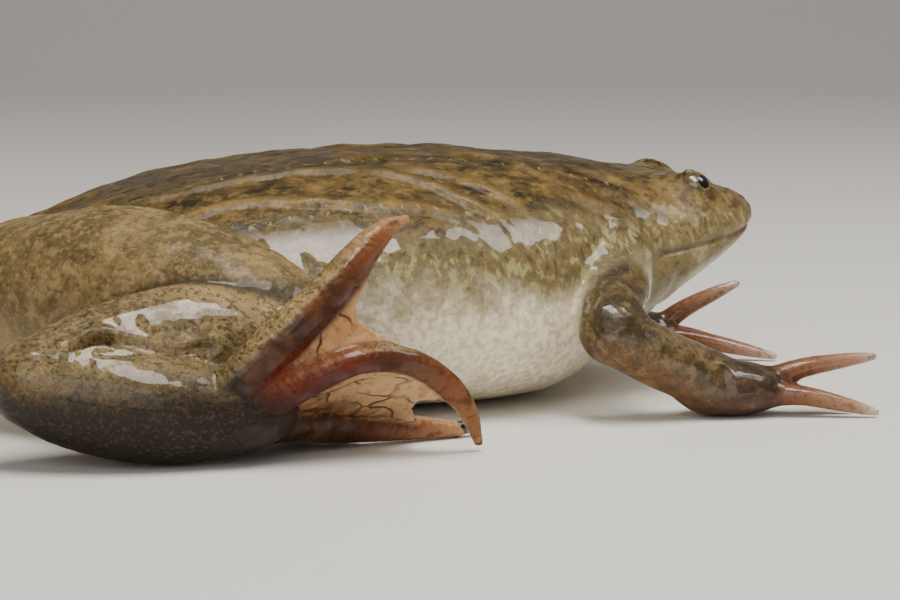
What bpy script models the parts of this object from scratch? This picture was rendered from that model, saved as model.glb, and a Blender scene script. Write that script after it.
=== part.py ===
"""African clawed frog at life size, resting on its belly with the hind legs folded at its sides.

Metres, +Z up. +X points to the snout and +Y to the frog's left. The origin is on the floor,
under the flat of the belly. Sizes in the tables below are in millimetres, as MM says.
"""

import math

import bmesh
import bpy
import numpy as np
from mathutils import Vector

MM = 0.001
GAP = 0.3  # clearance between touching pieces
WELD_AFTER_CUTS = 0.000001  # metres
RIGHT, LEFT = -1, 1
SIDE_NAMES = {RIGHT: "right", LEFT: "left"}

# Torso and head: x, half width, height of the back, height of the widest line, height of the underside
BODY_STATIONS = (
    (-52.0, 0.0, 13.0, 13.0, 13.0),
    (-50.5, 5.4, 17.2, 12.8, 8.6),
    (-44.0, 14.0, 19.8, 12.2, 3.0),
    (-36.0, 21.0, 23.2, 11.6, 0.2),
    (-26.0, 26.2, 26.7, 11.0, -0.5),
    (-13.0, 29.2, 29.2, 10.8, -0.6),
    (0.0, 30.0, 30.4, 11.0, -0.6),
    (13.0, 28.4, 30.4, 11.2, -0.5),
    (22.0, 25.0, 29.7, 12.0, 0.1),
    (29.0, 20.8, 28.9, 13.4, 3.2),
    (35.0, 17.6, 28.0, 15.2, 7.8),
    (41.0, 15.2, 27.0, 17.2, 12.1),
    (46.0, 12.6, 25.8, 19.2, 15.2),
    (50.0, 8.8, 24.6, 20.3, 17.9),
    (52.4, 4.6, 23.3, 21.1, 19.7),
    (53.5, 0.0, 21.7, 21.7, 21.7),
)
BACK_SQUARENESS = 2.4
BELLY_SQUARENESS = 2.3
BODY_SIDES = 26
NECK_X = 33.5
TORSO_RINGS = 17
HEAD_RINGS = 11

EYE_CENTRE = (43.2, 8.4, 25.2)
EYE_RADIUS = 2.3
EYE_MOUND_OFFSET = (-1.2, -1.0, -1.2)  # from the eye's centre
EYE_MOUND_RADII = (4.6, 4.1, 3.1)
NOSTRIL = (51.2, 2.4, 24.2)
NOSTRIL_RADIUS = 0.55
MOUTH_HINGE_X = 40.0
MOUTH_SWEEP = 100  # degrees from straight ahead to each corner, seen from the hinge
MOUTH_CORNER_Z = 18.2
MOUTH_FRONT_Z = 20.5
MOUTH_GROOVE_RADIUS = 0.4

VENT_PATH = ((-49.0, 0.0, 13.2), (-52.0, 0.0, 12.4), (-54.2, 0.0, 11.2))
VENT_RADII = (3.4, 2.9, 1.8)

# Each limb: points and radii. y counts outwards from the middle, and each side turns it its own way.
THIGH_PATHS = {
    RIGHT: ((-41.0, 11.0, 14.4), (-31.5, 22.5, 15.6), (-21.5, 32.0, 14.6), (-13.2, 38.0, 12.4)),
    LEFT: ((-42.0, 11.0, 11.0), (-32.5, 22.5, 12.0), (-22.0, 32.0, 12.2), (-12.5, 38.0, 12.0)),
}
THIGH_RADII = {RIGHT: (9.5, 10.8, 9.4, 6.0), LEFT: (8.6, 9.2, 8.6, 6.6)}
SHANK_PATH = (
    (-13.2, 38.2, 12.2), (-20.0, 38.6, 12.5), (-28.0, 39.0, 12.4), (-37.0, 40.0, 11.2), (-44.6, 41.4, 9.6),
)
SHANK_RADII = (6.0, 6.7, 6.8, 5.9, 4.6)
TARSUS_PATH = (
    (-44.6, 42.6, 9.2), (-40.0, 43.8, 7.9), (-34.0, 44.8, 6.8), (-28.5, 45.6, 6.0), (-24.5, 46.2, 5.7),
)
TARSUS_RADII = (4.9, 5.9, 6.3, 5.7, 4.5)
FOOT_BASE = (-21.5, 46.2, 5.5)
FOOT_BASE_RADII = (5.4, 4.3, 3.9)

# The right foot stands on its inner edge: its toes point up, forward, and along the floor.
RIGHT_TOES = {
    5: (
        ((-25, 47.2, 6.8), (-21.5, 48.4, 11.0), (-17.4, 48.8, 15.0), (-13.0, 47.9, 18.8),
         (-8.8, 46.3, 22.8), (-5.8, 45.0, 25.2), (-2.9, 43.8, 26.4)),
        (2.7, 2.5, 2.4, 2.2, 1.9, 1.3, 0.5),
    ),
    4: (
        ((-24, 47.2, 5.8), (-19.5, 48.8, 7.5), (-15.0, 49.4, 9.6), (-9.5, 49.4, 11.5),
         (-3.5, 48.4, 11.0), (1.0, 47.0, 8.2), (3.8, 45.9, 4.6), (5.2, 45.2, 0.9)),
        (2.4, 2.1, 1.8, 1.55, 1.45, 1.35, 1.1, 0.5),
    ),
    3: (((-24, 46.2, 4.8), (-17, 43.6, 3.6), (-9, 40.2, 2.4), (-1, 37.4, 1.6), (5.2, 36.0, 0.9)),
        (2.3, 1.9, 1.7, 1.45, 1.0)),
    2: (((-24, 45.2, 4.4), (-17, 41.0, 2.9), (-10, 36.6, 1.8), (-4.0, 33.4, 0.9)),
        (2.1, 1.7, 1.4, 0.95)),
    1: (((-24, 44.2, 4.0), (-18.5, 39.6, 2.5), (-13.8, 35.4, 1.6), (-11.0, 32.6, 0.9)),
        (1.9, 1.6, 1.3, 0.9)),
}
# The left foot lies flat: toe number, heading outwards in degrees, length.
LEFT_TOES = ((5, 20.0, 34.0), (4, 7.0, 39.0), (3, -6.0, 33.5), (2, -20.0, 27.0), (1, -36.0, 20.5))
FLAT_TOE_RADII = (2.3, 1.8, 1.5, 1.25, 0.95)
# Webs: outer toe, inner toe, how far along each the web reaches, how deep its free edge is scooped out
WEBS = {
    RIGHT: (
        (5, 4, 0.84, 0.60, 0.30), (4, 3, 0.86, 0.84, 0.22),
        (3, 2, 0.86, 0.90, 0.25), (2, 1, 0.86, 0.90, 0.20),
    ),
    LEFT: (
        (5, 4, 0.92, 0.84, 0.16), (4, 3, 0.84, 0.93, 0.16),
        (3, 2, 0.88, 0.94, 0.16), (2, 1, 0.90, 0.95, 0.14),
    ),
}
WEB_THICKNESS = 0.7
WEB_STEPS_ALONG = 8
WEB_STEPS_ACROSS = 4
CLAWED_TOES = (3, 2, 1)
OUTER_TOE = 5
CLAW_LENGTH = 3.0

UPPER_ARM_PATH = ((30.5, 16.0, 15.4), (28.0, 23.6, 13.6), (25.8, 29.4, 11.2))
UPPER_ARM_RADII = (4.6, 4.0, 3.6)
FOREARM_PATHS = {
    RIGHT: ((26.2, 30.0, 10.4), (31.5, 30.4, 7.5), (37.5, 29.3, 4.7)),
    LEFT: ((26.2, 30.0, 10.4), (33.0, 27.4, 7.2), (40.0, 22.6, 4.5)),
}
FOREARM_RADII = (3.5, 3.6, 3.5)
PALM_CENTRES = {RIGHT: (41.2, 29.2, 3.2), LEFT: (44.0, 20.0, 3.2)}
PALM_TURNS = {RIGHT: 6.0, LEFT: -28.0}  # degrees outwards from straight ahead
PALM_RADII = (6.4, 4.6, 3.35)
# Fingers from the inner to the outer one: root and tip
FINGERS = {
    RIGHT: (
        ((41.0, 26.6, 2.2), (46.6, 19.4, 0.6)),
        ((44.4, 28.4, 2.4), (55.2, 32.2, 0.6)),
        ((44.4, 29.6, 3.6), (58.8, 30.6, 6.6)),
        ((44.0, 31.0, 2.6), (57.2, 35.6, 0.6)),
    ),
    LEFT: (
        ((46.4, 17.8, 2.6), (61.4, 10.4, 0.6)),
        ((47.0, 18.2, 3.4), (57.8, 15.4, 9.9)),
        ((47.0, 20.2, 2.6), (59.4, 21.6, 0.6)),
        ((45.0, 22.6, 2.4), (53.6, 28.6, 0.6)),
    ),
}
FINGER_RADII = (1.55, 1.25, 0.95, 0.5)
FINGER_ARCH = 0.7

# Colours as sRGB shares, roughness and metallic value
SKINS = {
    "back_skin": ((0.42, 0.34, 0.20), 0.35),
    "leg_skin": ((0.46, 0.38, 0.24), 0.35),
    "arm_skin": ((0.48, 0.38, 0.26), 0.35),
    "digit_skin": ((0.62, 0.46, 0.34), 0.35),
    "web_skin": ((0.60, 0.40, 0.28), 0.3),
    "eye": ((0.05, 0.04, 0.03), 0.08),
    "claw": ((0.06, 0.05, 0.045), 0.3),
}

for leftover in list(bpy.data.objects):
    bpy.data.objects.remove(leftover)

frog = bpy.data.collections.new("clawed_frog")
cutters = bpy.data.collections.new("cutters")
bpy.context.scene.collection.children.link(frog)
bpy.context.scene.collection.children.link(cutters)


def skin_material(name):
    """A Principled BSDF of one colour and roughness."""
    colour, roughness = SKINS[name]
    material = bpy.data.materials.new(name)
    material.use_nodes = True
    shader = material.node_tree.nodes["Principled BSDF"]
    shader.inputs["Base Color"].default_value = (*(c**2.2 for c in colour), 1.0)
    shader.inputs["Roughness"].default_value = roughness
    shader.inputs["Metallic"].default_value = 0.0
    return material


materials = {name: skin_material(name) for name in SKINS}


def on_side(point, side):
    """A point in millimetres, given outwards from the middle, on the frog's right or left side."""
    return (point[0], side * point[1], point[2])


def both_ways(points, side):
    return [on_side(p, side) for p in points]


def blend_through(stops, values, at):
    """Monotone cubic curve through values at the stops, read at the given places."""
    stops, values = np.asarray(stops, float), np.asarray(values, float)
    step = np.diff(stops)
    slope = np.diff(values) / step
    tangent = np.zeros_like(values)
    same_way = slope[:-1] * slope[1:] > 0
    harmonic = 2 * slope[:-1] * slope[1:] / np.where(same_way, slope[:-1] + slope[1:], 1.0)
    tangent[1:-1] = np.where(same_way, harmonic, 0.0)
    tangent[0], tangent[-1] = slope[0], slope[-1]
    i = np.clip(np.searchsorted(stops, at) - 1, 0, len(step) - 1)
    t = (at - stops[i]) / step[i]
    return (
        (2 * t**3 - 3 * t**2 + 1) * values[i]
        + (t**3 - 2 * t**2 + t) * step[i] * tangent[i]
        + (3 * t**2 - 2 * t**3) * values[i + 1]
        + (t**3 - t**2) * step[i] * tangent[i + 1]
    )


def body_profile(x):
    """Half width, rise of the back, drop of the underside and the widest line's height at x.

    The squares of the first three are blended, so that both ends of the body close round."""
    table = np.array(BODY_STATIONS)
    stops, width, back, widest, under = table.T
    spans = (width, back - widest, widest - under)
    roots = [np.sqrt(np.maximum(blend_through(stops, v**2, x), 0.0)) for v in spans]
    return (*roots, blend_through(stops, widest, x))


def body_ring(x, grow):
    """One cross-section of the body: two half superellipses that meet at the widest line."""
    half_width, rise, drop, widest = (float(v) for v in body_profile(np.array(x)))
    ring = []
    for step in range(BODY_SIDES):
        angle = 2 * math.pi * step / BODY_SIDES
        across, up = math.cos(angle), math.sin(angle)
        power = 2 / (BACK_SQUARENESS if up >= 0 else BELLY_SQUARENESS)
        reach = (rise if up >= 0 else drop) + grow
        y = (half_width + grow) * math.copysign(abs(across) ** power, across)
        z = widest + reach * math.copysign(abs(up) ** power, up)
        ring.append((x, y, z))
    return ring


def link(name, mesh, collection):
    item = bpy.data.objects.new(name, mesh)
    collection.objects.link(item)
    if collection is cutters:
        item.hide_render = True
        item.display_type = "WIRE"
    return item


def body_loft(name, start, end, count, grow, collection):
    """Closed loft of the body between two x places, with rings set closer near both ends."""
    shape = bmesh.new()
    share = (1 - np.cos(np.linspace(0.04, 0.96, count) * math.pi)) / 2
    places = start + (end - start) * (share - share[0]) / (share[-1] - share[0])
    rings = []
    for x in places:
        rings.append([shape.verts.new(Vector(p) * MM) for p in body_ring(float(x), grow)])
    for a, b in zip(rings, rings[1:]):
        for i in range(BODY_SIDES):
            j = (i + 1) % BODY_SIDES
            shape.faces.new((a[i], a[j], b[j], b[i]))
    shape.faces.new(rings[0])
    shape.faces.new(rings[-1])
    bmesh.ops.recalc_face_normals(shape, faces=shape.faces)
    mesh = bpy.data.meshes.new(name)
    shape.to_mesh(mesh)
    shape.free()
    return link(name, mesh, collection)


def ellipsoid(name, centre, radii, grow, collection, turn=0.0, segments=14, rings=9):
    """A sphere primitive stretched to three radii and turned about Z."""
    mesh = bpy.data.meshes.new(name)
    shape = bmesh.new()
    bmesh.ops.create_uvsphere(shape, u_segments=segments, v_segments=rings, radius=1.0)
    bmesh.ops.scale(shape, vec=Vector([(r + grow) * MM for r in radii]), verts=shape.verts)
    shape.to_mesh(mesh)
    shape.free()
    item = link(name, mesh, collection)
    item.location = Vector(centre) * MM
    item.rotation_euler = (0.0, 0.0, math.radians(turn))
    return item


def smooth_path(points, radii, steps):
    """Points and radii read from a Catmull-Rom curve through the named ones."""
    knots = np.column_stack([np.asarray(points, float), np.asarray(radii, float)])
    knots = np.vstack([2 * knots[0] - knots[1], knots, 2 * knots[-1] - knots[-2]])
    places = np.linspace(0, len(points) - 1, steps)
    rows = []
    for place in places:
        i = min(int(place), len(points) - 2)
        t = place - i
        a, b, c, d = knots[i : i + 4]
        bend, twist = 2 * a - 5 * b + 4 * c - d, 3 * b - a - 3 * c + d
        rows.append(0.5 * (2 * b + (c - a) * t + bend * t**2 + twist * t**3))
    rows = np.array(rows)
    return rows[:, :3], rows[:, 3]


def welded_mesh(item, distance=0.00001):
    """The evaluated mesh of an object with its doubles merged, in world space."""
    bpy.context.view_layer.update()
    graph = bpy.context.evaluated_depsgraph_get()
    mesh = bpy.data.meshes.new_from_object(item.evaluated_get(graph))
    shape = bmesh.new()
    shape.from_mesh(mesh)
    bmesh.ops.transform(shape, matrix=item.matrix_world, verts=shape.verts)
    bmesh.ops.remove_doubles(shape, verts=shape.verts, dist=distance)
    shape.to_mesh(mesh)
    shape.free()
    return mesh


def tube(name, points, radii, grow, collection, steps=10, sides=2, blunt=False):
    """A round limb along a curve: a bevelled poly spline, rounded off at both ends unless it ends blunt."""
    centres, widths = smooth_path(points, radii, steps)
    round_off = [(math.cos(math.radians(d)), math.sin(math.radians(d))) for d in (12, 40, 65)]
    root, tip = widths[0] + grow, widths[-1] + grow
    first = (centres[0] - centres[1]) / np.linalg.norm(centres[0] - centres[1])
    last = (centres[-1] - centres[-2]) / np.linalg.norm(centres[-1] - centres[-2])
    rows = [(centres[0] + first * root * c, root * s) for c, s in round_off]
    rows += [(p, w + grow) for p, w in zip(centres, widths)]
    if not blunt:
        rows += [(centres[-1] + last * tip * c, tip * s) for c, s in round_off[::-1]]
    data = bpy.data.curves.new(name, "CURVE")
    data.dimensions = "3D"
    data.bevel_depth = MM
    data.bevel_resolution = sides
    data.use_fill_caps = True
    spline = data.splines.new("POLY")
    spline.points.add(len(rows) - 1)
    for point, (place, width) in zip(spline.points, rows):
        point.co = (*(place * MM), 1.0)
        point.radius = width
    curve = link(name + "_curve", data, cutters)
    item = link(name, welded_mesh(curve), collection)
    bpy.data.objects.remove(curve)
    return item


def web_sheet(name, outer, inner, outer_reach, inner_reach, scoop, collection):
    """The skin between two toes: straight lines from toe to toe, ending in a scooped free edge.

    Each quad is split the same way before the sheet is given its thickness."""
    shape = bmesh.new()
    grid = []
    for i in range(WEB_STEPS_ALONG + 1):
        row = []
        for j in range(WEB_STEPS_ACROSS + 1):
            across = j / WEB_STEPS_ACROSS
            along = i / WEB_STEPS_ALONG * (1 - scoop * math.sin(math.pi * across))
            a = outer[along * outer_reach]
            b = inner[along * inner_reach]
            row.append(shape.verts.new(Vector(a * (1 - across) + b * across) * MM))
        grid.append(row)
    for low, high in zip(grid, grid[1:]):
        for j in range(WEB_STEPS_ACROSS):
            shape.faces.new((low[j], low[j + 1], high[j + 1]))
            shape.faces.new((low[j], high[j + 1], high[j]))
    bmesh.ops.recalc_face_normals(shape, faces=shape.faces)
    mesh = bpy.data.meshes.new(name)
    shape.to_mesh(mesh)
    shape.free()
    item = link(name, mesh, collection)
    wall = item.modifiers.new("thickness", "SOLIDIFY")
    wall.thickness = WEB_THICKNESS * MM
    wall.offset = 0.0
    return item


class Along:
    """Reads a smooth path at a share of its length, from 0 at its root to 1 at its tip."""

    def __init__(self, points, radii):
        self.places, _ = smooth_path(points, radii, 60)
        self.shares = np.linspace(0, 1, 60)

    def __getitem__(self, share):
        return np.array([np.interp(share, self.shares, self.places[:, k]) for k in range(3)])


def largest_piece(mesh):
    """Keeps the largest closed surface of a mesh, by its area."""
    shape = bmesh.new()
    shape.from_mesh(mesh)
    bmesh.ops.triangulate(shape, faces=shape.faces)
    islands, seen = [], set()
    for face in shape.faces:
        if face in seen:
            continue
        found, front = [], [face]
        seen.add(face)
        while front:
            at = front.pop()
            found.append(at)
            for edge in at.edges:
                for other in edge.link_faces:
                    if other not in seen:
                        seen.add(other)
                        front.append(other)
        islands.append(found)
    islands.sort(key=lambda faces: sum(f.calc_area() for f in faces))
    scraps = [f for faces in islands[:-1] for f in faces]
    bmesh.ops.delete(shape, geom=scraps, context="FACES")
    shape.to_mesh(mesh)
    shape.free()


def joined(name, pieces):
    """One closed solid from several that overlap, by a Boolean union on a collection."""
    others = bpy.data.collections.new(name + "_pieces")
    bpy.context.scene.collection.children.link(others)
    base = link(name + "_base", welded_mesh(pieces[0]), cutters)
    for piece in pieces[1:]:
        link_to = link(piece.name + "_solid", welded_mesh(piece), others)
        link_to.hide_render = True
    union = base.modifiers.new("union", "BOOLEAN")
    union.operation = "UNION"
    union.operand_type = "COLLECTION"
    union.collection = others
    union.solver = "MANIFOLD"
    item = link(name, welded_mesh(base), cutters)
    for done in [base, *pieces, *others.objects]:
        bpy.data.objects.remove(done)
    bpy.data.collections.remove(others)
    return item


def finish_node(name, shape, skin, removed):
    """Cuts the floor and the named neighbours from a shape, and makes what is left a node."""
    for cutter in (floor_cutter, *removed):
        cut = shape.modifiers.new("cut_" + cutter.name, "BOOLEAN")
        cut.operation = "DIFFERENCE"
        cut.object = cutter
        cut.solver = "MANIFOLD"
    mesh = welded_mesh(shape, WELD_AFTER_CUTS)
    largest_piece(mesh)
    bpy.data.objects.remove(shape)
    mesh.name = name
    mesh.materials.clear()
    mesh.materials.append(materials[skin])
    mesh.shade_smooth()
    mesh.set_sharp_from_angle(angle=math.radians(40))
    return link(name, mesh, frog)


def floor_block():
    """Everything under the floor, which flattens what rests on it."""
    mesh = bpy.data.meshes.new("floor_cutter")
    shape = bmesh.new()
    bmesh.ops.create_cube(shape, size=1.0)
    bmesh.ops.scale(shape, vec=Vector((400, 400, 40)) * MM, verts=shape.verts)
    bmesh.ops.translate(shape, vec=Vector((0, 0, -20)) * MM, verts=shape.verts)
    shape.to_mesh(mesh)
    shape.free()
    return link("floor_cutter", mesh, cutters)


def inside_body(point):
    """Under 1 inside the body's loft, over 1 outside it."""
    x, y, z = point
    if not BODY_STATIONS[0][0] < x < BODY_STATIONS[-1][0]:
        return 2.0
    half_width, rise, drop, widest = (max(float(v), 0.001) for v in body_profile(np.array(x)))
    if z > widest:
        return abs(y / half_width) ** BACK_SQUARENESS + abs((z - widest) / rise) ** BACK_SQUARENESS
    return abs(y / half_width) ** BELLY_SQUARENESS + abs((z - widest) / drop) ** BELLY_SQUARENESS


def mouth_groove():
    """A round cut that follows the lips, from one corner round the snout to the other.

    Level rays leave a point inside the head, each a little higher than the last towards the front,
    and halving steps find where each one meets the skin."""
    route = []
    for degrees in range(-MOUTH_SWEEP, MOUTH_SWEEP + 1, MOUTH_SWEEP // 10):
        share = math.cos(math.pi / 2 * degrees / MOUTH_SWEEP)
        z = MOUTH_CORNER_Z + (MOUTH_FRONT_Z - MOUTH_CORNER_Z) * share
        direction = Vector((math.cos(math.radians(degrees)), math.sin(math.radians(degrees)), 0.0))
        start = Vector((MOUTH_HINGE_X, 0.0, z))
        near, far = 0.0, 30.0
        for _ in range(30):
            middle = (near + far) / 2
            if inside_body(start + direction * middle) < 1:
                near = middle
            else:
                far = middle
        route.append(start + direction * near)
    return tube("mouth_groove", route, [MOUTH_GROOVE_RADIUS] * len(route), 0.0, cutters, steps=31, sides=1)


def make_head():
    """The head's loft with a mound round each eye, the eyes' sockets, the mouth's line and the nostrils."""
    pieces = [body_loft("head_loft", NECK_X + GAP / 2, BODY_STATIONS[-1][0] - 0.25, HEAD_RINGS, 0.0, cutters)]
    removed = [mouth_groove()]
    for side in (RIGHT, LEFT):
        label = SIDE_NAMES[side]
        eye_centre = on_side(EYE_CENTRE, side)
        mound_centre = [a + b for a, b in zip(eye_centre, on_side(EYE_MOUND_OFFSET, side))]
        pieces.append(ellipsoid("eye_mound_" + label, mound_centre, EYE_MOUND_RADII, 0.0, cutters))
        removed.append(ellipsoid("socket_" + label, eye_centre, [EYE_RADIUS] * 3, GAP, cutters))
        dent = ("nostril_" + label, on_side(NOSTRIL, side), [NOSTRIL_RADIUS] * 3)
        removed.append(ellipsoid(*dent, 0.0, cutters, segments=8, rings=6))
        eye = ellipsoid("eyeball", eye_centre, [EYE_RADIUS] * 3, 0.0, cutters)
        finish_node("eye_" + label, eye, "eye", [])
    finish_node("head", joined("head_shape", pieces), "back_skin", removed)


def make_torso():
    torso = body_loft("torso_loft", BODY_STATIONS[0][0] + 0.25, NECK_X - GAP / 2, TORSO_RINGS, 0.0, cutters)
    finish_node("torso", torso, "back_skin", [])


def make_arm(side, body_cutter):
    """Upper arm, forearm, palm and four separate fingers."""
    label = SIDE_NAMES[side]
    upper_points = both_ways(UPPER_ARM_PATH, side)
    fore_points = both_ways(FOREARM_PATHS[side], side)
    palm = (on_side(PALM_CENTRES[side], side), PALM_RADII)
    turn = side * PALM_TURNS[side]
    upper = tube("upper_arm", upper_points, UPPER_ARM_RADII, 0.0, cutters, steps=7, sides=3)
    upper_cutter = tube("upper_arm_cutter", upper_points, UPPER_ARM_RADII, GAP, cutters, steps=7, sides=3)
    fore = tube("forearm", fore_points, FOREARM_RADII, 0.0, cutters, steps=7, sides=3)
    fore_cutter = tube("forearm_cutter", fore_points, FOREARM_RADII, GAP, cutters, steps=7, sides=3)
    hand = ellipsoid("palm", *palm, 0.0, cutters, turn=turn)
    hand_cutter = ellipsoid("palm_cutter", *palm, GAP, cutters, turn=turn)
    finish_node("upper_arm_" + label, upper, "arm_skin", [body_cutter])
    finish_node("forearm_" + label, fore, "arm_skin", [body_cutter, upper_cutter])
    finish_node("hand_" + label, hand, "arm_skin", [body_cutter, fore_cutter])
    earlier = []
    for number, (root, tip) in enumerate(FINGERS[side], start=1):
        root, tip = (np.array(on_side(p, side)) for p in (root, tip))
        arch = np.array((0.0, 0.0, FINGER_ARCH))
        points = [root, root + (tip - root) * 0.35 + arch, root + (tip - root) * 0.72 + arch * 0.6, tip]
        finger = tube(f"finger_{number}", points, FINGER_RADII, 0.0, cutters, steps=7)
        cutter = tube(f"finger_{number}_cutter", points, FINGER_RADII, GAP, cutters, steps=7)
        finish_node(f"finger_{label}_{number}", finger, "digit_skin", [hand_cutter, fore_cutter, *earlier])
        earlier.append(cutter)


def flat_toe(heading, length, side):
    """A toe that lies on the floor: it leaves the foot level and curves down to the floor."""
    base = np.array(FOOT_BASE) * (1, side, 0)
    angle = math.radians(heading)
    ahead = np.array((math.cos(angle), side * math.sin(angle), 0.0))
    inwards = np.array((math.sin(angle), -side * math.cos(angle), 0.0))
    rows = zip((-0.08, 0.28, 0.55, 0.8, 1.0), (4.4, 3.0, 2.0, 1.4, 0.9), (0.0, -0.8, -1.0, -0.6, 0.3))
    return [tuple(base + ahead * length * share + inwards * bow + (0, 0, up)) for share, up, bow in rows]


def toe_tube(number, toe, grow=0.0):
    points, radii = toe
    steps, blunt = len(points) + 3, number in CLAWED_TOES
    return tube(f"toe_{number}", points, radii, grow, cutters, steps=steps, blunt=blunt)


def make_foot(side, limb_cutters):
    """Five toes joined by webs, with a claw on each of the three inner ones.

    The outer toe and its web are a node of their own, cut clear of the rest of the foot."""
    label = SIDE_NAMES[side]
    if side == RIGHT:
        toes = {n: (both_ways(points, side), radii) for n, (points, radii) in RIGHT_TOES.items()}
    else:
        toes = {n: (flat_toe(heading, length, side), FLAT_TOE_RADII) for n, heading, length in LEFT_TOES}
    sheets = []
    for outer, inner, *shape in WEBS[side]:
        sheets.append(web_sheet(f"web_{outer}", Along(*toes[outer]), Along(*toes[inner]), *shape, cutters))
    base = on_side(FOOT_BASE, side)
    foot = [ellipsoid("foot_base", base, FOOT_BASE_RADII, 0.0, cutters)]
    foot += [toe_tube(number, toes[number]) for number in toes if number != OUTER_TOE]
    finish_node("foot_" + label, joined("foot_shape", foot + sheets[1:]), "web_skin", limb_cutters)
    outer_toe = joined("outer_toe_shape", [toe_tube(OUTER_TOE, toes[OUTER_TOE]), sheets[0]])
    base_cutter = ellipsoid("foot_base_cutter", base, FOOT_BASE_RADII, GAP, cutters)
    foot_cutters = [*limb_cutters, base_cutter, toe_tube(4, toes[4], GAP)]
    finish_node("outer_toe_" + label, outer_toe, "web_skin", foot_cutters)
    for number in CLAWED_TOES:
        points, radii = toes[number]
        centres, _ = smooth_path(points, radii, len(points) + 3)
        ahead = (centres[-1] - centres[-2]) / np.linalg.norm(centres[-1] - centres[-2])
        start = centres[-1] + ahead * GAP
        route = [start, start + ahead * CLAW_LENGTH * 0.5, start + ahead * CLAW_LENGTH + (0, 0, -0.3)]
        finish_node(f"claw_{label}_{number}", claw(f"claw_{number}", route, radii[-1]), "claw", [])


def claw(name, route, radius):
    """A short horn cone with a flat root and a narrow tip."""
    data = bpy.data.curves.new(name, "CURVE")
    data.dimensions = "3D"
    data.bevel_depth = MM
    data.bevel_resolution = 2
    data.use_fill_caps = True
    spline = data.splines.new("POLY")
    widths = (radius * 0.92, radius * 0.72, radius * 0.22)
    spline.points.add(len(route) - 1)
    for point, place, width in zip(spline.points, route, widths):
        point.co = (*(np.asarray(place) * MM), 1.0)
        point.radius = width
    curve = link(name + "_curve", data, cutters)
    item = link(name, welded_mesh(curve), cutters)
    bpy.data.objects.remove(curve)
    return item


def make_leg(side, body_cutter):
    """Thigh, shank, tarsus and webbed foot, folded against the flank."""
    label = SIDE_NAMES[side]
    shapes = {
        "thigh": (both_ways(THIGH_PATHS[side], side), THIGH_RADII[side]),
        "shank": (both_ways(SHANK_PATH, side), SHANK_RADII),
        "tarsus": (both_ways(TARSUS_PATH, side), TARSUS_RADII),
    }
    earlier = [body_cutter]
    for part, (points, radii) in shapes.items():
        limb = tube(part, points, radii, 0.0, cutters, steps=10, sides=4)
        cutter = tube(part + "_cutter", points, radii, GAP, cutters, steps=10, sides=4)
        finish_node(f"{part}_{label}", limb, "leg_skin", earlier)
        earlier.append(cutter)
    make_foot(side, earlier)


floor_cutter = floor_block()
body_ends = (BODY_STATIONS[0][0] + 0.2, BODY_STATIONS[-1][0] - 0.2)
whole_body_cutter = body_loft("body_cutter", *body_ends, 30, GAP, cutters)
make_torso()
make_head()
vent = tube("vent_tube", VENT_PATH, VENT_RADII, 0.0, cutters, steps=5)
finish_node("vent", vent, "back_skin", [whole_body_cutter])
for side in (RIGHT, LEFT):
    make_arm(side, whole_body_cutter)
    make_leg(side, whole_body_cutter)
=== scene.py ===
"""The clawed frog's looks: one skin over its flesh, its eyes and claws, and the floor, light and camera.

Lengths in the tables are millimetres, as in the solids, and MM turns them into metres. +X is the
snout's way, +Y the frog's left, +Z up, with the floor at nought. y is given outwards from the middle
in every table of a limb, and each side turns it its own way. The stage and the lights are in metres.
"""

import math

import bpy
import numpy as np
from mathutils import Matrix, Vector


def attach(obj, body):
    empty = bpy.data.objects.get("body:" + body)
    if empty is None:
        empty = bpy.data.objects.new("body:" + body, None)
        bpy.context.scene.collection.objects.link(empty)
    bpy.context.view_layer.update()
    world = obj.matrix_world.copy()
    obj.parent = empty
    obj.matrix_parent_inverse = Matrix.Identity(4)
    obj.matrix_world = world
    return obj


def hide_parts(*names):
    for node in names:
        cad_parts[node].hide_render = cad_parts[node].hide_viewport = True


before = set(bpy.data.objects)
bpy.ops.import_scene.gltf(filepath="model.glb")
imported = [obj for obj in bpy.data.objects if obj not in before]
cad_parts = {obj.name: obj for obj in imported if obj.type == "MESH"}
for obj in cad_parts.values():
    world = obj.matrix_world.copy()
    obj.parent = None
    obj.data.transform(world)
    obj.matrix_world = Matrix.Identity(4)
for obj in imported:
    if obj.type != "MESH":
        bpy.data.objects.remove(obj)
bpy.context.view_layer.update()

MM = 0.001
RIGHT, LEFT = -1, 1
SIDES = {RIGHT: "right", LEFT: "left"}

# Sizes of the solids

# x, half width, and the heights of the back, the widest line and the underside
BODY_STATIONS = (
    (-52.0, 0.0, 13.0, 13.0, 13.0),
    (-50.5, 5.4, 17.2, 12.8, 8.6),
    (-44.0, 14.0, 19.8, 12.2, 3.0),
    (-36.0, 21.0, 23.2, 11.6, 0.2),
    (-26.0, 26.2, 26.7, 11.0, -0.5),
    (-13.0, 29.2, 29.2, 10.8, -0.6),
    (0.0, 30.0, 30.4, 11.0, -0.6),
    (13.0, 28.4, 30.4, 11.2, -0.5),
    (22.0, 25.0, 29.7, 12.0, 0.1),
    (29.0, 20.8, 28.9, 13.4, 3.2),
    (35.0, 17.6, 28.0, 15.2, 7.8),
    (41.0, 15.2, 27.0, 17.2, 12.1),
    (46.0, 12.6, 25.8, 19.2, 15.2),
    (50.0, 8.8, 24.6, 20.3, 17.9),
    (52.4, 4.6, 23.3, 21.1, 19.7),
    (53.5, 0.0, 21.7, 21.7, 21.7),
)
BACK_SQUARENESS = 2.4
BELLY_SQUARENESS = 2.3

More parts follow.
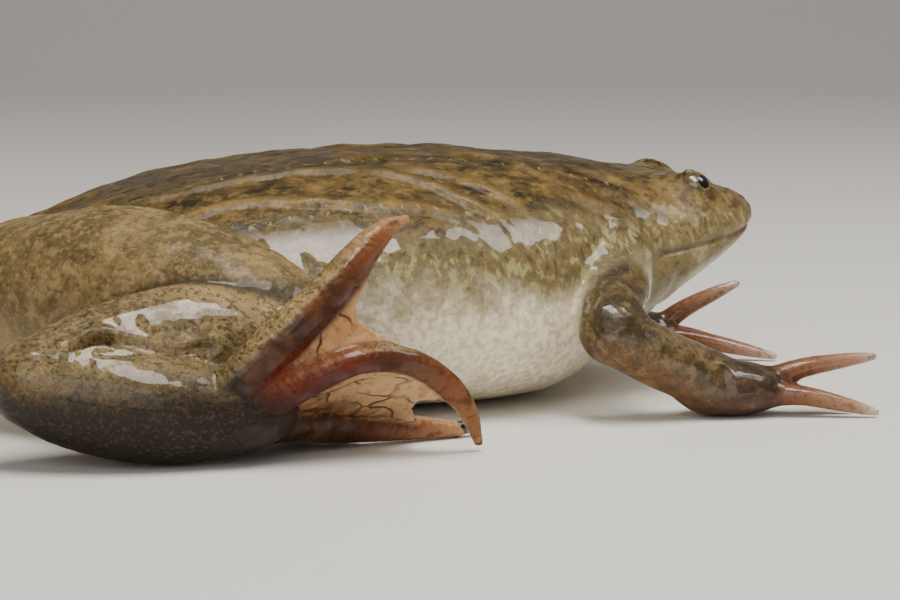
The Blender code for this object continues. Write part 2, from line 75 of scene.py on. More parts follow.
EYE_CENTRE = (43.2, 8.4, 25.2)
EYE_RADIUS = 2.3
EYE_MOUND_OFFSET = (-1.2, -1.0, -1.2)
EYE_MOUND_RADII = (4.6, 4.1, 3.1)
GAZE = (0.40, 0.76, 0.51)
EYE_RIM_RADIUS, EYE_RIM_AHEAD, EYE_RIM_HALF_WIDTH = 2.2, 0.65, 0.28
CORNEA_BULGE = 0.03  # share of the eye's radius
NOSTRIL = ((51.0, 2.1, 24.4), (51.5, 2.6, 23.9))
NOSTRIL_DEPTH = 0.6
MOUTH_HINGE_X = 40.0
MOUTH_SWEEP = 100
MOUTH_CORNER_Z = 18.2
MOUTH_FRONT_Z = 20.5
MOUTH_POINTS = 61
MOUTH_DEPTH = 0.42
VENT_PATH = ((-49.0, 0.0, 13.2), (-52.0, 0.0, 12.4), (-54.2, 0.0, 11.2))
VENT_RADII = (3.4, 2.9, 1.8)

THIGH_PATHS = {
    RIGHT: ((-41.0, 11.0, 14.4), (-31.5, 22.5, 15.6), (-21.5, 32.0, 14.6), (-13.2, 38.0, 12.4)),
    LEFT: ((-42.0, 11.0, 11.0), (-32.5, 22.5, 12.0), (-22.0, 32.0, 12.2), (-12.5, 38.0, 12.0)),
}
THIGH_RADII = {RIGHT: (9.5, 10.8, 9.4, 6.0), LEFT: (8.6, 9.2, 8.6, 6.6)}
SHANK_PATH = (
    (-13.2, 38.2, 12.2), (-20.0, 38.6, 12.5), (-28.0, 39.0, 12.4), (-37.0, 40.0, 11.2), (-44.6, 41.4, 9.6),
)
SHANK_RADII = (6.0, 6.7, 6.8, 5.9, 4.6)
TARSUS_PATH = (
    (-44.6, 42.6, 9.2), (-40.0, 43.8, 7.9), (-34.0, 44.8, 6.8), (-28.5, 45.6, 6.0), (-24.5, 46.2, 5.7),
)
TARSUS_RADII = (4.9, 5.9, 6.3, 5.7, 4.5)
FOOT_BASE = (-21.5, 46.2, 5.5)
FOOT_BASE_RADII = (5.4, 4.3, 3.9)
# The way that each foot's upper side faces, in the model's own axes
FOOT_TOP = {RIGHT: (-0.62, 0.38, 0.69), LEFT: (0.0, 0.0, 1.0)}

# Each toe's path, and its radii along it
RIGHT_TOES = {
    5: (
        ((-25, 47.2, 6.8), (-21.5, 48.4, 11.0), (-17.4, 48.8, 15.0), (-13.0, 47.9, 18.8),
         (-8.8, 46.3, 22.8), (-5.8, 45.0, 25.2), (-2.9, 43.8, 26.4)),
        (2.7, 2.5, 2.4, 2.2, 1.9, 1.3, 0.5),
    ),
    4: (
        ((-24, 47.2, 5.8), (-19.5, 48.8, 7.5), (-15.0, 49.4, 9.6), (-9.5, 49.4, 11.5),
         (-3.5, 48.4, 11.0), (1.0, 47.0, 8.2), (3.8, 45.9, 4.6), (5.2, 45.2, 0.9)),
        (2.4, 2.1, 1.8, 1.55, 1.45, 1.35, 1.1, 0.5),
    ),
    3: (((-24, 46.2, 4.8), (-17, 43.6, 3.6), (-9, 40.2, 2.4), (-1, 37.4, 1.6), (5.2, 36.0, 0.9)),
        (2.3, 1.9, 1.7, 1.45, 1.0)),
    2: (((-24, 45.2, 4.4), (-17, 41.0, 2.9), (-10, 36.6, 1.8), (-4.0, 33.4, 0.9)),
        (2.1, 1.7, 1.4, 0.95)),
    1: (((-24, 44.2, 4.0), (-18.5, 39.6, 2.5), (-13.8, 35.4, 1.6), (-11.0, 32.6, 0.9)),
        (1.9, 1.6, 1.3, 0.9)),
}
# Number, heading in degrees and length
LEFT_TOES = ((5, 20.0, 34.0), (4, 7.0, 39.0), (3, -6.0, 33.5), (2, -20.0, 27.0), (1, -36.0, 20.5))
FLAT_TOE_RADII = (2.3, 1.8, 1.5, 1.25, 0.95)
# Outer toe, inner toe, how far the web reaches along each, and how deep its free edge is cut
WEBS = {
    RIGHT: (
        (5, 4, 0.84, 0.60, 0.30), (4, 3, 0.86, 0.84, 0.22),
        (3, 2, 0.86, 0.90, 0.25), (2, 1, 0.86, 0.90, 0.20),
    ),
    LEFT: (
        (5, 4, 0.92, 0.84, 0.16), (4, 3, 0.84, 0.93, 0.16),
        (3, 2, 0.88, 0.94, 0.16), (2, 1, 0.90, 0.95, 0.14),
    ),
}
WEB_THICKNESS = 0.7
CLAWED_TOES = (3, 2, 1)
CLAW_LENGTH = 3.0
CLAW_ROOT, CLAW_ARCH, CLAW_DROP = 0.25, 0.45, 0.35

UPPER_ARM_PATH = ((30.5, 16.0, 15.4), (28.0, 23.6, 13.6), (25.8, 29.4, 11.2))
UPPER_ARM_RADII = (4.6, 4.0, 3.6)
FOREARM_PATHS = {
    RIGHT: ((26.2, 30.0, 10.4), (31.5, 30.4, 7.5), (37.5, 29.3, 4.7)),
    LEFT: ((26.2, 30.0, 10.4), (33.0, 27.4, 7.2), (40.0, 22.6, 4.5)),
}
FOREARM_RADII = (3.5, 3.6, 3.5)
PALM_CENTRES = {RIGHT: (41.2, 29.2, 3.2), LEFT: (44.0, 20.0, 3.2)}
PALM_TURNS = {RIGHT: 6.0, LEFT: -28.0}
PALM_RADII = (6.4, 4.6, 3.35)
# Each finger's root and tip
FINGERS = {
    RIGHT: (
        ((41.0, 26.6, 2.2), (46.6, 19.4, 0.6)),
        ((44.4, 28.4, 2.4), (55.2, 32.2, 0.6)),
        ((44.4, 29.6, 3.6), (58.8, 30.6, 6.6)),
        ((44.0, 31.0, 2.6), (57.2, 35.6, 0.6)),
    ),
    LEFT: (
        ((46.4, 17.8, 2.6), (61.4, 10.4, 0.6)),
        ((47.0, 18.2, 3.4), (57.8, 15.4, 9.9)),
        ((47.0, 20.2, 2.6), (59.4, 21.6, 0.6)),
        ((45.0, 22.6, 2.4), (53.6, 28.6, 0.6)),
    ),
}
FINGER_RADII = (1.55, 1.25, 0.95, 0.5)
FINGER_ARCH = 0.7

# How fine the skin is. Each axis starts at a place, and each stretch then runs on to its end at a spacing.

GRID_X = (-57.5, (-41.5, 0.42), (-35.5, 0.28), (38.0, 0.42), (54.5, 0.24), (65.0, 0.34))
GRID_Y = (-54.5, (-17.0, 0.42), (-3.0, 0.26), (3.0, 0.36), (17.0, 0.26), (64.5, 0.42))
GRID_Z = (-1.3, (13.0, 0.42), (28.6, 0.25), (32.5, 0.36))
FAR = 9.0  # distance written where nothing is near
SKIN_TRIANGLES = 194000
WEB_RULINGS = 110
WEB_PARTS = 5


def on_side(point, side):
    return (point[0], side * point[1], point[2])


def both_ways(points, side):
    return [on_side(p, side) for p in points]


def unit(vector):
    vector = np.asarray(vector, float)
    return vector / np.linalg.norm(vector)


def smooth_path(points, radii, steps):
    """Catmull-Rom curve through the points, with their radii carried along it."""
    knots = np.column_stack([np.asarray(points, float), np.asarray(radii, float)])
    knots = np.vstack([2 * knots[0] - knots[1], knots, 2 * knots[-1] - knots[-2]])
    place = np.linspace(0, len(points) - 1, steps)
    i = np.minimum(place.astype(int), len(points) - 2)
    t = (place - i)[:, None]
    a, b, c, d = (knots[i + k] for k in range(4))
    rows = 0.5 * (2 * b + (c - a) * t + (2 * a - 5 * b + 4 * c - d) * t**2 + (3 * b - a - 3 * c + d) * t**3)
    return rows[:, :3], rows[:, 3]


def blend_through(stops, values, at):
    """Monotone cubic curve through values at the stops: harmonic slopes, and cubic Hermite steps."""
    step = np.diff(stops)
    slope = np.diff(values) / step
    tangent = np.zeros_like(values)
    same_way = slope[:-1] * slope[1:] > 0
    harmonic = 2 * slope[:-1] * slope[1:] / np.where(same_way, slope[:-1] + slope[1:], 1.0)
    tangent[1:-1] = np.where(same_way, harmonic, 0.0)
    tangent[0], tangent[-1] = slope[0], slope[-1]
    i = np.clip(np.searchsorted(stops, at) - 1, 0, len(step) - 1)
    t = (at - stops[i]) / step[i]
    return (
        (2 * t**3 - 3 * t**2 + 1) * values[i]
        + (t**3 - 2 * t**2 + t) * step[i] * tangent[i]
        + (3 * t**2 - 2 * t**3) * values[i + 1]
        + (t**3 - t**2) * step[i] * tangent[i + 1]
    )


def body_profile(x):
    """Half width, rise of the back, drop of the underside and the widest line's height at x."""
    stops, width, back, widest, under = np.array(BODY_STATIONS).T
    inside = np.clip(x, stops[0], stops[-1])
    spans = (width, back - widest, widest - under)
    roots = [np.sqrt(np.maximum(blend_through(stops, v**2, inside), 1e-4)) for v in spans]
    return (*roots, blend_through(stops, widest, inside))


def body_distance(x, y, z):
    """How far a point lies outside the body's loft, along the ray from the body's middle line.

    A cross-section is two half superellipses that meet at the widest line, each with
    |y/width|^p + |up/reach|^p = 1."""
    half_width, rise, drop, widest = body_profile(x)
    up = z - widest
    power = np.where(up > 0, BACK_SQUARENESS, BELLY_SQUARENESS)
    reach = np.where(up > 0, rise, drop)
    level = ((np.abs(y) / half_width) ** power + (np.abs(up) / reach) ** power) ** (1 / power)
    ray = np.sqrt(y * y + up * up)
    beyond = np.maximum(x - BODY_STATIONS[-1][0], 0) + np.maximum(BODY_STATIONS[0][0] - x, 0)
    outside = np.where((level < 1) & (beyond == 0), -1, 1)
    return np.hypot(ray - ray / np.maximum(level, 1e-3), beyond) * outside


def beside_stretch(x, y, z, a, b, least=0.0):
    """Distance to the straight line from a to b, and the share of it behind the nearest point."""
    ab = b - a
    dx, dy, dz = x - a[0], y - a[1], z - a[2]
    t = np.clip((dx * ab[0] + dy * ab[1] + dz * ab[2]) / (ab @ ab + least), 0, 1)
    dx, dy, dz = dx - t * ab[0], dy - t * ab[1], dz - t * ab[2]
    return np.sqrt(dx * dx + dy * dy + dz * dz), t


class Tube:
    """A round limb: the least distance to the cones between the knots of a smooth path."""

    def __init__(self, points, radii, steps=16):
        self.path, self.radius = smooth_path(points, radii, steps)
        widest = self.radius[:, None]
        self.low, self.high = (self.path - widest).min(0), (self.path + widest).max(0)

    def measure(self, x, y, z):
        """Distance, and the share of the limb's length that lies behind the nearest point."""
        best, share = None, None
        count = len(self.path) - 1
        for i in range(count):
            away, t = beside_stretch(x, y, z, self.path[i], self.path[i + 1])
            gap = away - (self.radius[i] + t * (self.radius[i + 1] - self.radius[i]))
            if best is None:
                best, share = gap, (i + t) / count
            else:
                share = np.where(gap < best, (i + t) / count, share)
                best = np.minimum(best, gap)
        return best, share

    def distance(self, x, y, z):
        return self.measure(x, y, z)[0]


class Ellipsoid:
    """A ball with three radii, turned about Z: the scaled offset's excess over 1, divided by its slope."""

    def __init__(self, centre, radii, turn=0.0):
        self.centre, self.radii = np.array(centre, float), np.array(radii, float)
        self.turn = math.radians(turn)
        self.low, self.high = self.centre - self.radii.max(), self.centre + self.radii.max()

    def distance(self, x, y, z):
        c, s = math.cos(self.turn), math.sin(self.turn)
        dx, dy, dz = x - self.centre[0], y - self.centre[1], z - self.centre[2]
        u, v = (c * dx + s * dy) / self.radii[0], (c * dy - s * dx) / self.radii[1]
        w = dz / self.radii[2]
        length = np.sqrt(u * u + v * v + w * w)
        slope = np.sqrt((u / self.radii[0]) ** 2 + (v / self.radii[1]) ** 2 + (w / self.radii[2]) ** 2)
        return (length - 1) * length / np.maximum(slope, 1e-3)


def soft_least(a, b, blend):
    """The lesser of two distances, rounded where they meet over the blend's width."""
    near = np.maximum(blend - np.abs(a - b), 0) / blend
    return np.minimum(a, b) - near * near * blend / 4


def grid_marks(stretches):
    marks = [stretches[0]]
    for end, spacing in stretches[1:]:
        marks.extend(np.linspace(marks[-1], end, round((end - marks[-1]) / spacing) + 1)[1:])
    return np.array(marks)


class Field:
    """A box of grid points that holds the distance to the skin at each: under nought inside it."""

    def __init__(self):
        self.marks = [grid_marks(s) for s in (GRID_X, GRID_Y, GRID_Z)]
        self.value = np.full([len(m) for m in self.marks], FAR, np.float32)
        self.slope = None

    def window(self, low, high):
        """The slices of a box, and the coordinates of its points as three open arrays."""
        cut, axes = [], []
        for marks, a, b in zip(self.marks, low, high):
            first, last = np.searchsorted(marks, (a, b))
            cut.append(slice(max(first - 1, 0), last + 1))
            axes.append(marks[cut[-1]].astype(np.float32))
        return tuple(cut), np.meshgrid(*axes, indexing="ij", sparse=True)

    def join(self, shape, blend):
        """Grows the flesh by a shape, with a rounded seam."""
        cut, grid = self.window(shape.low - blend - 1, shape.high + blend + 1)
        self.value[cut] = soft_least(self.value[cut], shape.distance(*grid), blend)

    def carve(self, shape, blend):
        """Takes a shape out of the flesh, with a rounded rim."""
        cut, grid = self.window(shape.low - blend - 1, shape.high + blend + 1)
        self.value[cut] = -soft_least(-self.value[cut], shape.distance(*grid), blend)

    def settle(self):
        """Works out the slope of the distance once every shape is in."""
        self.slope = [g.astype(np.float32) for g in np.gradient(self.value, *self.marks)]

    def read(self, points, values):
        """Values between the grid points, by trilinear blending."""
        place = [np.interp(points[:, k], m, np.arange(len(m))) for k, m in enumerate(self.marks)]
        place = np.column_stack(place)
        base = np.minimum(place.astype(int), np.array(values.shape) - 2)
        share = place - base
        total = 0
        for corner in np.ndindex(2, 2, 2):
            weight = np.prod(np.where(np.array(corner) == 1, share, 1 - share), axis=1)
            total = total + weight * values[tuple((base + corner).T)]
        return total

    def pull(self, points, times):
        """Moves points along the slope onto the skin, and gives the way out of it there."""
        for _ in range(times):
            slope = np.stack([self.read(points, s) for s in self.slope], axis=1)
            square = np.maximum((slope**2).sum(1), 0.05)
            points = points - slope * (self.read(points, self.value) / square)[:, None]
        slope = np.stack([self.read(points, s) for s in self.slope], axis=1)
        return points, slope / np.maximum(np.linalg.norm(slope, axis=1, keepdims=True), 1e-6)


def surface_nets(field):
    """Quads round the zero level, with a vertex in each cell that it crosses.

    The vertex is the mean of the places where the cell's edges cross the level."""
    inside = field.value < 0
    size = np.array(inside.shape) - 1
    corners = list(np.ndindex(2, 2, 2))
    held = 0
    for corner in corners:
        held = held + inside[tuple(slice(c, c + n) for c, n in zip(corner, size))].astype(np.int8)
    crossed = (held > 0) & (held < 8)
    cells = np.argwhere(crossed)
    value = {corner: field.value[tuple((cells + corner).T)] for corner in corners}
    total, count = np.zeros(cells.shape), np.zeros(len(cells))
    for start in corners:
        for axis in range(3):
            if start[axis]:
                continue
            end = tuple(1 if k == axis else c for k, c in enumerate(start))
            a, b = value[start], value[end]
            cuts = (a < 0) != (b < 0)
            share = np.where(cuts, a / np.where(cuts, a - b, 1), 0)
            for k in range(3):
                total[:, k] += np.where(cuts, start[k] + (share if k == axis else 0), 0)
            count += cuts
    place = cells + total / count[:, None]
    marks = enumerate(field.marks)
    points = np.column_stack([np.interp(place[:, k], np.arange(len(m)), m) for k, m in marks])
    number = np.full(crossed.shape, -1, np.int32)
    number[crossed] = np.arange(len(cells))
    quads = []
    for axis in range(3):
        second, third = (axis + 1) % 3, (axis + 2) % 3
        near = [slice(1, -1)] * 3
        far = list(near)
        near[axis], far[axis] = slice(0, -1), slice(1, None)
        here, there = inside[tuple(near)], inside[tuple(far)]
        for outwards in (True, False):
            edge = np.argwhere(here & ~there if outwards else ~here & there) + 1
            edge[:, axis] -= 1
            ring = []
            for b, c in ((1, 1), (0, 1), (0, 0), (1, 0)):
                cell = edge.copy()
                cell[:, second] -= b
                cell[:, third] -= c
                ring.append(number[tuple(cell.T)])
            quads.append(np.stack(ring if outwards else ring[::-1], axis=1))
    return points, np.concatenate(quads)


LATTICE_SIZE = 48
LATTICE = np.random.default_rng(7).random([LATTICE_SIZE] * 3)


def lattice_noise(points, size, shift=0.0):
    """Smooth noise from -1 to 1: random values on a lattice of the given spacing, blended by smoothsteps."""
    place = points / size + shift
    base = np.floor(place).astype(int)
    t = place - base
    t = t * t * (3 - 2 * t)
    total = 0
    for corner in np.ndindex(2, 2, 2):
        weight = np.prod(np.where(np.array(corner) == 1, t, 1 - t), axis=1)
        total = total + weight * LATTICE[tuple(((base + corner) % LATTICE_SIZE).T)]
    return 2 * total - 1


def bell(distance, width):
    return np.exp(-((distance / width) ** 2))


def ramp(value, low, high):
    """0 under low, 1 over high, and a smoothstep between."""
    t = np.clip((value - low) / (high - low), 0, 1)
    return t * t * (3 - 2 * t)


def flat_toe(heading, length, side):
    """A toe that lies on the floor: it leaves the foot level and curves down to the floor."""
    base = np.array(FOOT_BASE) * (1, side, 0)
    angle = math.radians(heading)
    ahead = np.array((math.cos(angle), side * math.sin(angle), 0.0))
    inwards = np.array((math.sin(angle), -side * math.cos(angle), 0.0))
    rows = zip((-0.08, 0.28, 0.55, 0.8, 1.0), (4.4, 3.0, 2.0, 1.4, 0.9), (0.0, -0.8, -1.0, -0.6, 0.3))
    return [
        tuple(base + ahead * length * share + inwards * bow + (0, 0, height)) for share, height, bow in rows
    ]


def toe_paths(side):
    if side == RIGHT:
        return {n: (both_ways(points, side), radii) for n, (points, radii) in RIGHT_TOES.items()}
    return {n: (flat_toe(heading, length, side), FLAT_TOE_RADII) for n, heading, length in LEFT_TOES}


def web_grid(outer, inner, outer_reach, inner_reach, scoop):
    """Points of the skin between two toes: rulings that bow back more towards the free edge."""
    shares = np.linspace(0, 1, 60)
    i = np.linspace(0, 1, WEB_RULINGS)[:, None]
    j = np.linspace(0, 1, WEB_PARTS + 1)[None, :]
    along = i * (1 - scoop * np.sin(math.pi * j))
    ends = []
    for toe, reach in ((outer, outer_reach), (inner, inner_reach)):
        path, _ = smooth_path(*toe, 60)
        ends.append(np.stack([np.interp(along * reach, shares, path[:, k]) for k in range(3)], axis=2))
    return ends[0] * (1 - j[:, :, None]) + ends[1] * j[:, :, None]


def stamp_web(field, sheet, web):
    """Writes the distance to a web into its own grid, one short straight piece of a ruling at a time."""
    radius = WEB_THICKNESS / 2
    margin = radius + 1.2
    for row in sheet:
        for a, b in zip(row[:-1], row[1:]):
            cut, (x, y, z) = field.window(np.minimum(a, b) - margin, np.maximum(a, b) + margin)
            gap = beside_stretch(x, y, z, a, b, 1e-9)[0] - radius
            web[cut] = np.minimum(web[cut], gap)


def finger_tubes(side):
    arch = np.array((0.0, 0.0, FINGER_ARCH))
    tubes = []
    for root, tip in FINGERS[side]:
        root, tip = (np.array(on_side(p, side)) for p in (root, tip))
        points = [root, root + (tip - root) * 0.35 + arch, root + (tip - root) * 0.72 + arch * 0.6, tip]
        tubes.append(Tube(points, FINGER_RADII, 12))
    return tubes


def make_shapes():
    """Every form of the flesh by name, in the order in which they join."""
    shapes = {"vent": Tube(VENT_PATH, VENT_RADII, 8)}
    for side, label in SIDES.items():
        shapes["thigh_" + label] = Tube(both_ways(THIGH_PATHS[side], side), THIGH_RADII[side])
        shapes["shank_" + label] = Tube(both_ways(SHANK_PATH, side), SHANK_RADII)
        shapes["tarsus_" + label] = Tube(both_ways(TARSUS_PATH, side), TARSUS_RADII)
        shapes["foot_" + label] = Ellipsoid(on_side(FOOT_BASE, side), FOOT_BASE_RADII)
        for number, (points, radii) in toe_paths(side).items():
            shapes[f"toe_{label}_{number}"] = Tube(points, radii, 20)
        shapes["upper_arm_" + label] = Tube(both_ways(UPPER_ARM_PATH, side), UPPER_ARM_RADII, 12)
        shapes["forearm_" + label] = Tube(both_ways(FOREARM_PATHS[side], side), FOREARM_RADII, 12)
        palm = on_side(PALM_CENTRES[side], side)
        shapes["palm_" + label] = Ellipsoid(palm, PALM_RADII, side * PALM_TURNS[side])
        for number, tube in enumerate(finger_tubes(side), start=1):
            shapes[f"finger_{label}_{number}"] = tube
    return shapes


BLENDS = {
    "vent": 2.0, "thigh": 1.0, "shank": 0.4, "tarsus": 0.9, "foot": 2.4, "toe": 0.9,
    "upper": 2.4, "forearm": 2.0, "palm": 2.2, "finger": 0.9,
}


def grow_flesh(field, shapes, web):
    """Fills the field: the body's loft, the head's mounds, the limbs and the webs, cut flat at the floor."""
    low, high = np.array([(m[0], m[-1]) for m in field.marks]).T
    x, y, z = field.window(low, high)[1]
    loft = body_distance(x, y, z)
    slope = np.sqrt(sum(g * g for g in np.gradient(loft, *field.marks)))
    field.value[...] = loft / np.clip(slope, 0.6, 3.0)
    for side in SIDES:
        eye = np.array(on_side(EYE_CENTRE, side))
        field.join(Ellipsoid(eye + on_side(EYE_MOUND_OFFSET, side), EYE_MOUND_RADII), 1.8)
    for name, shape in shapes.items():
        field.join(shape, BLENDS[name.split("_")[0]])
    field.value[...] = soft_least(field.value, web, 0.7)
    for side in SIDES:
        eye = np.array(on_side(EYE_CENTRE, side))
        gaze = unit(on_side(GAZE, side))
        rim = eye + gaze * EYE_RIM_AHEAD + EYE_RIM_RADIUS * circle(*eye_frame(gaze), 25, closed=True)
        field.join(Tube(rim, [EYE_RIM_HALF_WIDTH] * 25, 49), 0.9)
        field.carve(Ellipsoid(eye, [EYE_RADIUS] * 3), 0.35)
    field.value[...] = -soft_least(-field.value, z + 0 * field.value, 0.5)


def eye_frame(gaze):
    """Two unit ways across the line of sight."""
    across = unit(np.cross(gaze, (0, 0, 1)))
    return across, np.cross(gaze, across)


def circle(across, over, count, closed=False):
    """Points round a unit circle in the plane of two ways. A closed one ends where it starts."""
    turn = np.linspace(0, 2 * math.pi, count, endpoint=closed)[:, None]
    return np.cos(turn) * across + np.sin(turn) * over


def line_on_skin(field, points, spacing=0.6):
    """A smooth line through points, pulled onto the skin."""
    length = np.linalg.norm(np.diff(np.array(points, float), axis=0), axis=1).sum()
    path, _ = smooth_path(points, [0] * len(points), max(int(length / spacing), 4))
    return field.pull(path, 4)[0]


def beside_line(points, line, reach):
    """Distance to a polyline and the length along it, worked out only within reach of its box."""
    gap, along = np.full(len(points), FAR), np.zeros(len(points))
    near = np.all((points > line.min(0) - reach) & (points < line.max(0) + reach), axis=1)
    found = points[near]
    best, behind = np.full(len(found), FAR), np.zeros(len(found))
    passed = 0.0
    for a, b in zip(line[:-1], line[1:]):
        ab = b - a
        size = np.linalg.norm(ab) + 1e-9
        t = np.clip((found - a) @ ab / size**2, 0, 1)
        away = np.linalg.norm(found - a - t[:, None] * ab, axis=1)
        behind = np.where(away < best, passed + t * size, behind)
        best = np.minimum(best, away)
        passed += size
    gap[near], along[near] = best, behind
    return gap, along


def distance_to_line(points, line, reach):
    return beside_line(points, line, reach)[0]


def along_ridge(field, points, crest, width):
    """Distance to a ridge, and how far it has risen there, from almost nought at its ends."""
    path = line_on_skin(field, crest)
    gap, along = beside_line(points, path, 4 * width)
    length = np.linalg.norm(np.diff(path, axis=0), axis=1).sum()
    return gap, ramp(np.minimum(along, length - along), -1.0, 7.0)


def along_slit(field, points):
    """Distance to the heel's slit, and how far it is open there."""
    gap, along = beside_line(points, line_on_skin(field, both_ways(SLIT, RIGHT), 0.3), 3.0)
    return gap, np.sin(np.clip(along / SLIT_LENGTH, 0, 1) * math.pi)


def mouth_line():
    """The lips' line from the right corner round the snout to the left one.

    Level rays leave a point in the head, each a little higher towards the front, and halving steps
    find where each one meets the skin."""
    turn = np.radians(np.linspace(-MOUTH_SWEEP, MOUTH_SWEEP, MOUTH_POINTS))
    share = np.cos(np.linspace(-math.pi / 2, math.pi / 2, MOUTH_POINTS))
    z = MOUTH_CORNER_Z + (MOUTH_FRONT_Z - MOUTH_CORNER_Z) * share
    near, far = np.zeros(MOUTH_POINTS), np.full(MOUTH_POINTS, 30.0)
    for _ in range(30):
        middle = (near + far) / 2
        x, y = MOUTH_HINGE_X + middle * np.cos(turn), middle * np.sin(turn)
        inside = (body_distance(x, y, z) < 0) & (x < BODY_STATIONS[-1][0])
        near, far = np.where(inside, middle, near), np.where(inside, far, middle)
    return np.column_stack([MOUTH_HINGE_X + near * np.cos(turn), near * np.sin(turn), z])


# Ridges of the loose skin on both sides: points with y outwards, height, width
BACK_RIDGES = (
    (((-46, 9, 19.5), (-38, 11, 24), (-28, 11.5, 27), (-17, 11.4, 28), (-8, 12.2, 28.8), (-1, 14, 28.8),
      (5, 17, 28.1), (9, 20, 26.6), (13, 22.8, 24.4), (15.5, 24, 22)), 0.42, 0.9),
    (((-6, 13.4, 29), (2, 13.4, 29.1), (7, 14.6, 28.8), (11.5, 17.2, 27.6), (16, 20, 25.2),
      (19, 21.4, 23)), 0.32, 0.7),
    (((-4, 10, 29.6), (0.7, 7.2, 30.1), (5.6, 5.7, 30.3), (12, 7, 30.1), (17.5, 8.2, 29.7), (21, 12.6, 28.3),
      (24, 16.6, 25.8)), 0.4, 0.9),
    (((-30, 20, 24.0), (-18, 17.6, 25.8), (-9, 20, 26.1), (-2, 21.8, 25.8), (6, 22.6, 24.8),
      (12, 24.4, 22)), 0.25, 0.9),
    (((24, 8, 29), (30, 10, 28), (36, 12, 25.8)), 0.25, 0.9),
    (((22, 15.5, 26.5), (28, 16.5, 24.6), (34, 16, 23)), 0.22, 0.9),
    (((-49, 5, 17), (-44, 5, 20.5), (-36, 5, 24.5), (-26, 5, 27.9)), 0.3, 1.2),
)
# Creases on both sides: points with y outwards, depth, width
CREASES = (
    (((-33, 21.5, 26), (-27, 26, 23), (-20, 30, 18.5), (-15.5, 31.5, 14)), 0.4, 0.8),
    (((36, 16.8, 18), (34.5, 17.6, 14), (33, 16.5, 9)), 0.4, 0.8),
    (((38.5, 15, 15.5), (37.5, 14, 12), (37, 10, 9.5)), 0.3, 0.7),
    (((24, 25, 17), (21.5, 26.5, 13), (21, 27, 9)), 0.35, 0.9),
    (((24.0, 28.0, 15.2), (22.8, 31.0, 12.4), (24.4, 33.2, 9.2)), 0.3, 0.6),
    (((27.5, 33.2, 12.0), (29.8, 33.8, 9.4)), 0.35, 0.5),
    (((38.6, 32.0, 5.4), (39.6, 32.6, 2.8)), 0.3, 0.5),
    (((-40.9, 46.5, 15.3), (-39.2, 46.5, 15.9), (-37.4, 46.5, 15.7), (-35.3, 46.5, 14.8), (-32.4, 46.5, 13.5),
      (-29.1, 46.5, 12.8), (-26.0, 46.5, 13.0)), 0.45, 0.5),
    (((-31.4, 46.8, 11.7), (-29.2, 46.8, 11.3), (-27.1, 46.8, 11.8), (-25.4, 46.8, 13.1)), 0.25, 0.45),
    (((-38.0, 46.8, 12.7), (-35.2, 46.8, 12.1), (-32.5, 46.8, 12.3)), 0.22, 0.45),
    (((-30.5, 47, 10.2), (-27.6, 47, 10.0), (-25.2, 47, 11.0), (-23.8, 47, 12.6)), 0.2, 0.45),
)
# Rows of the side-line organs, which look like stitches, on both sides
STITCH_LINES = (
    ((-44, 17.5, 18), (-36, 22, 21.5), (-25, 23.5, 24.5), (-9, 23, 25.6), (3, 22.4, 25.2), (14.8, 22.4, 22.6),
     (22, 21.5, 20.5), (29, 18.5, 20.5), (35, 16.5, 21)),
    ((-30, 10, 27), (-15, 9.6, 29.5), (0, 9.4, 30.4), (15, 10.5, 30), (26, 11.5, 28), (34, 12.4, 25.6)),
)
# The flesh between the right foot's two outer toes, which is the reddest part
RED_FLESH = ((-18.0, 48.6, 9.4), (-15.0, 48.8, 10.6), (-11.0, 48.8, 11.8))
# The middle of the thigh's dark mottles, on both sides
THIGH_DARK = (-22.0, 23.5, 20.5)
# Behind the middle, heights are shares of at least this much, because the body's end is thin
LEAST_REAR_REACH = 5.0
# The slit where the right shank and heel part
SLIT = ((-41.0, 46.5, 15.1), (-38.8, 46.5, 15.7), (-36.0, 46.5, 15.2))
SLIT_LENGTH, SLIT_DEPTH = 5.2, 1.3


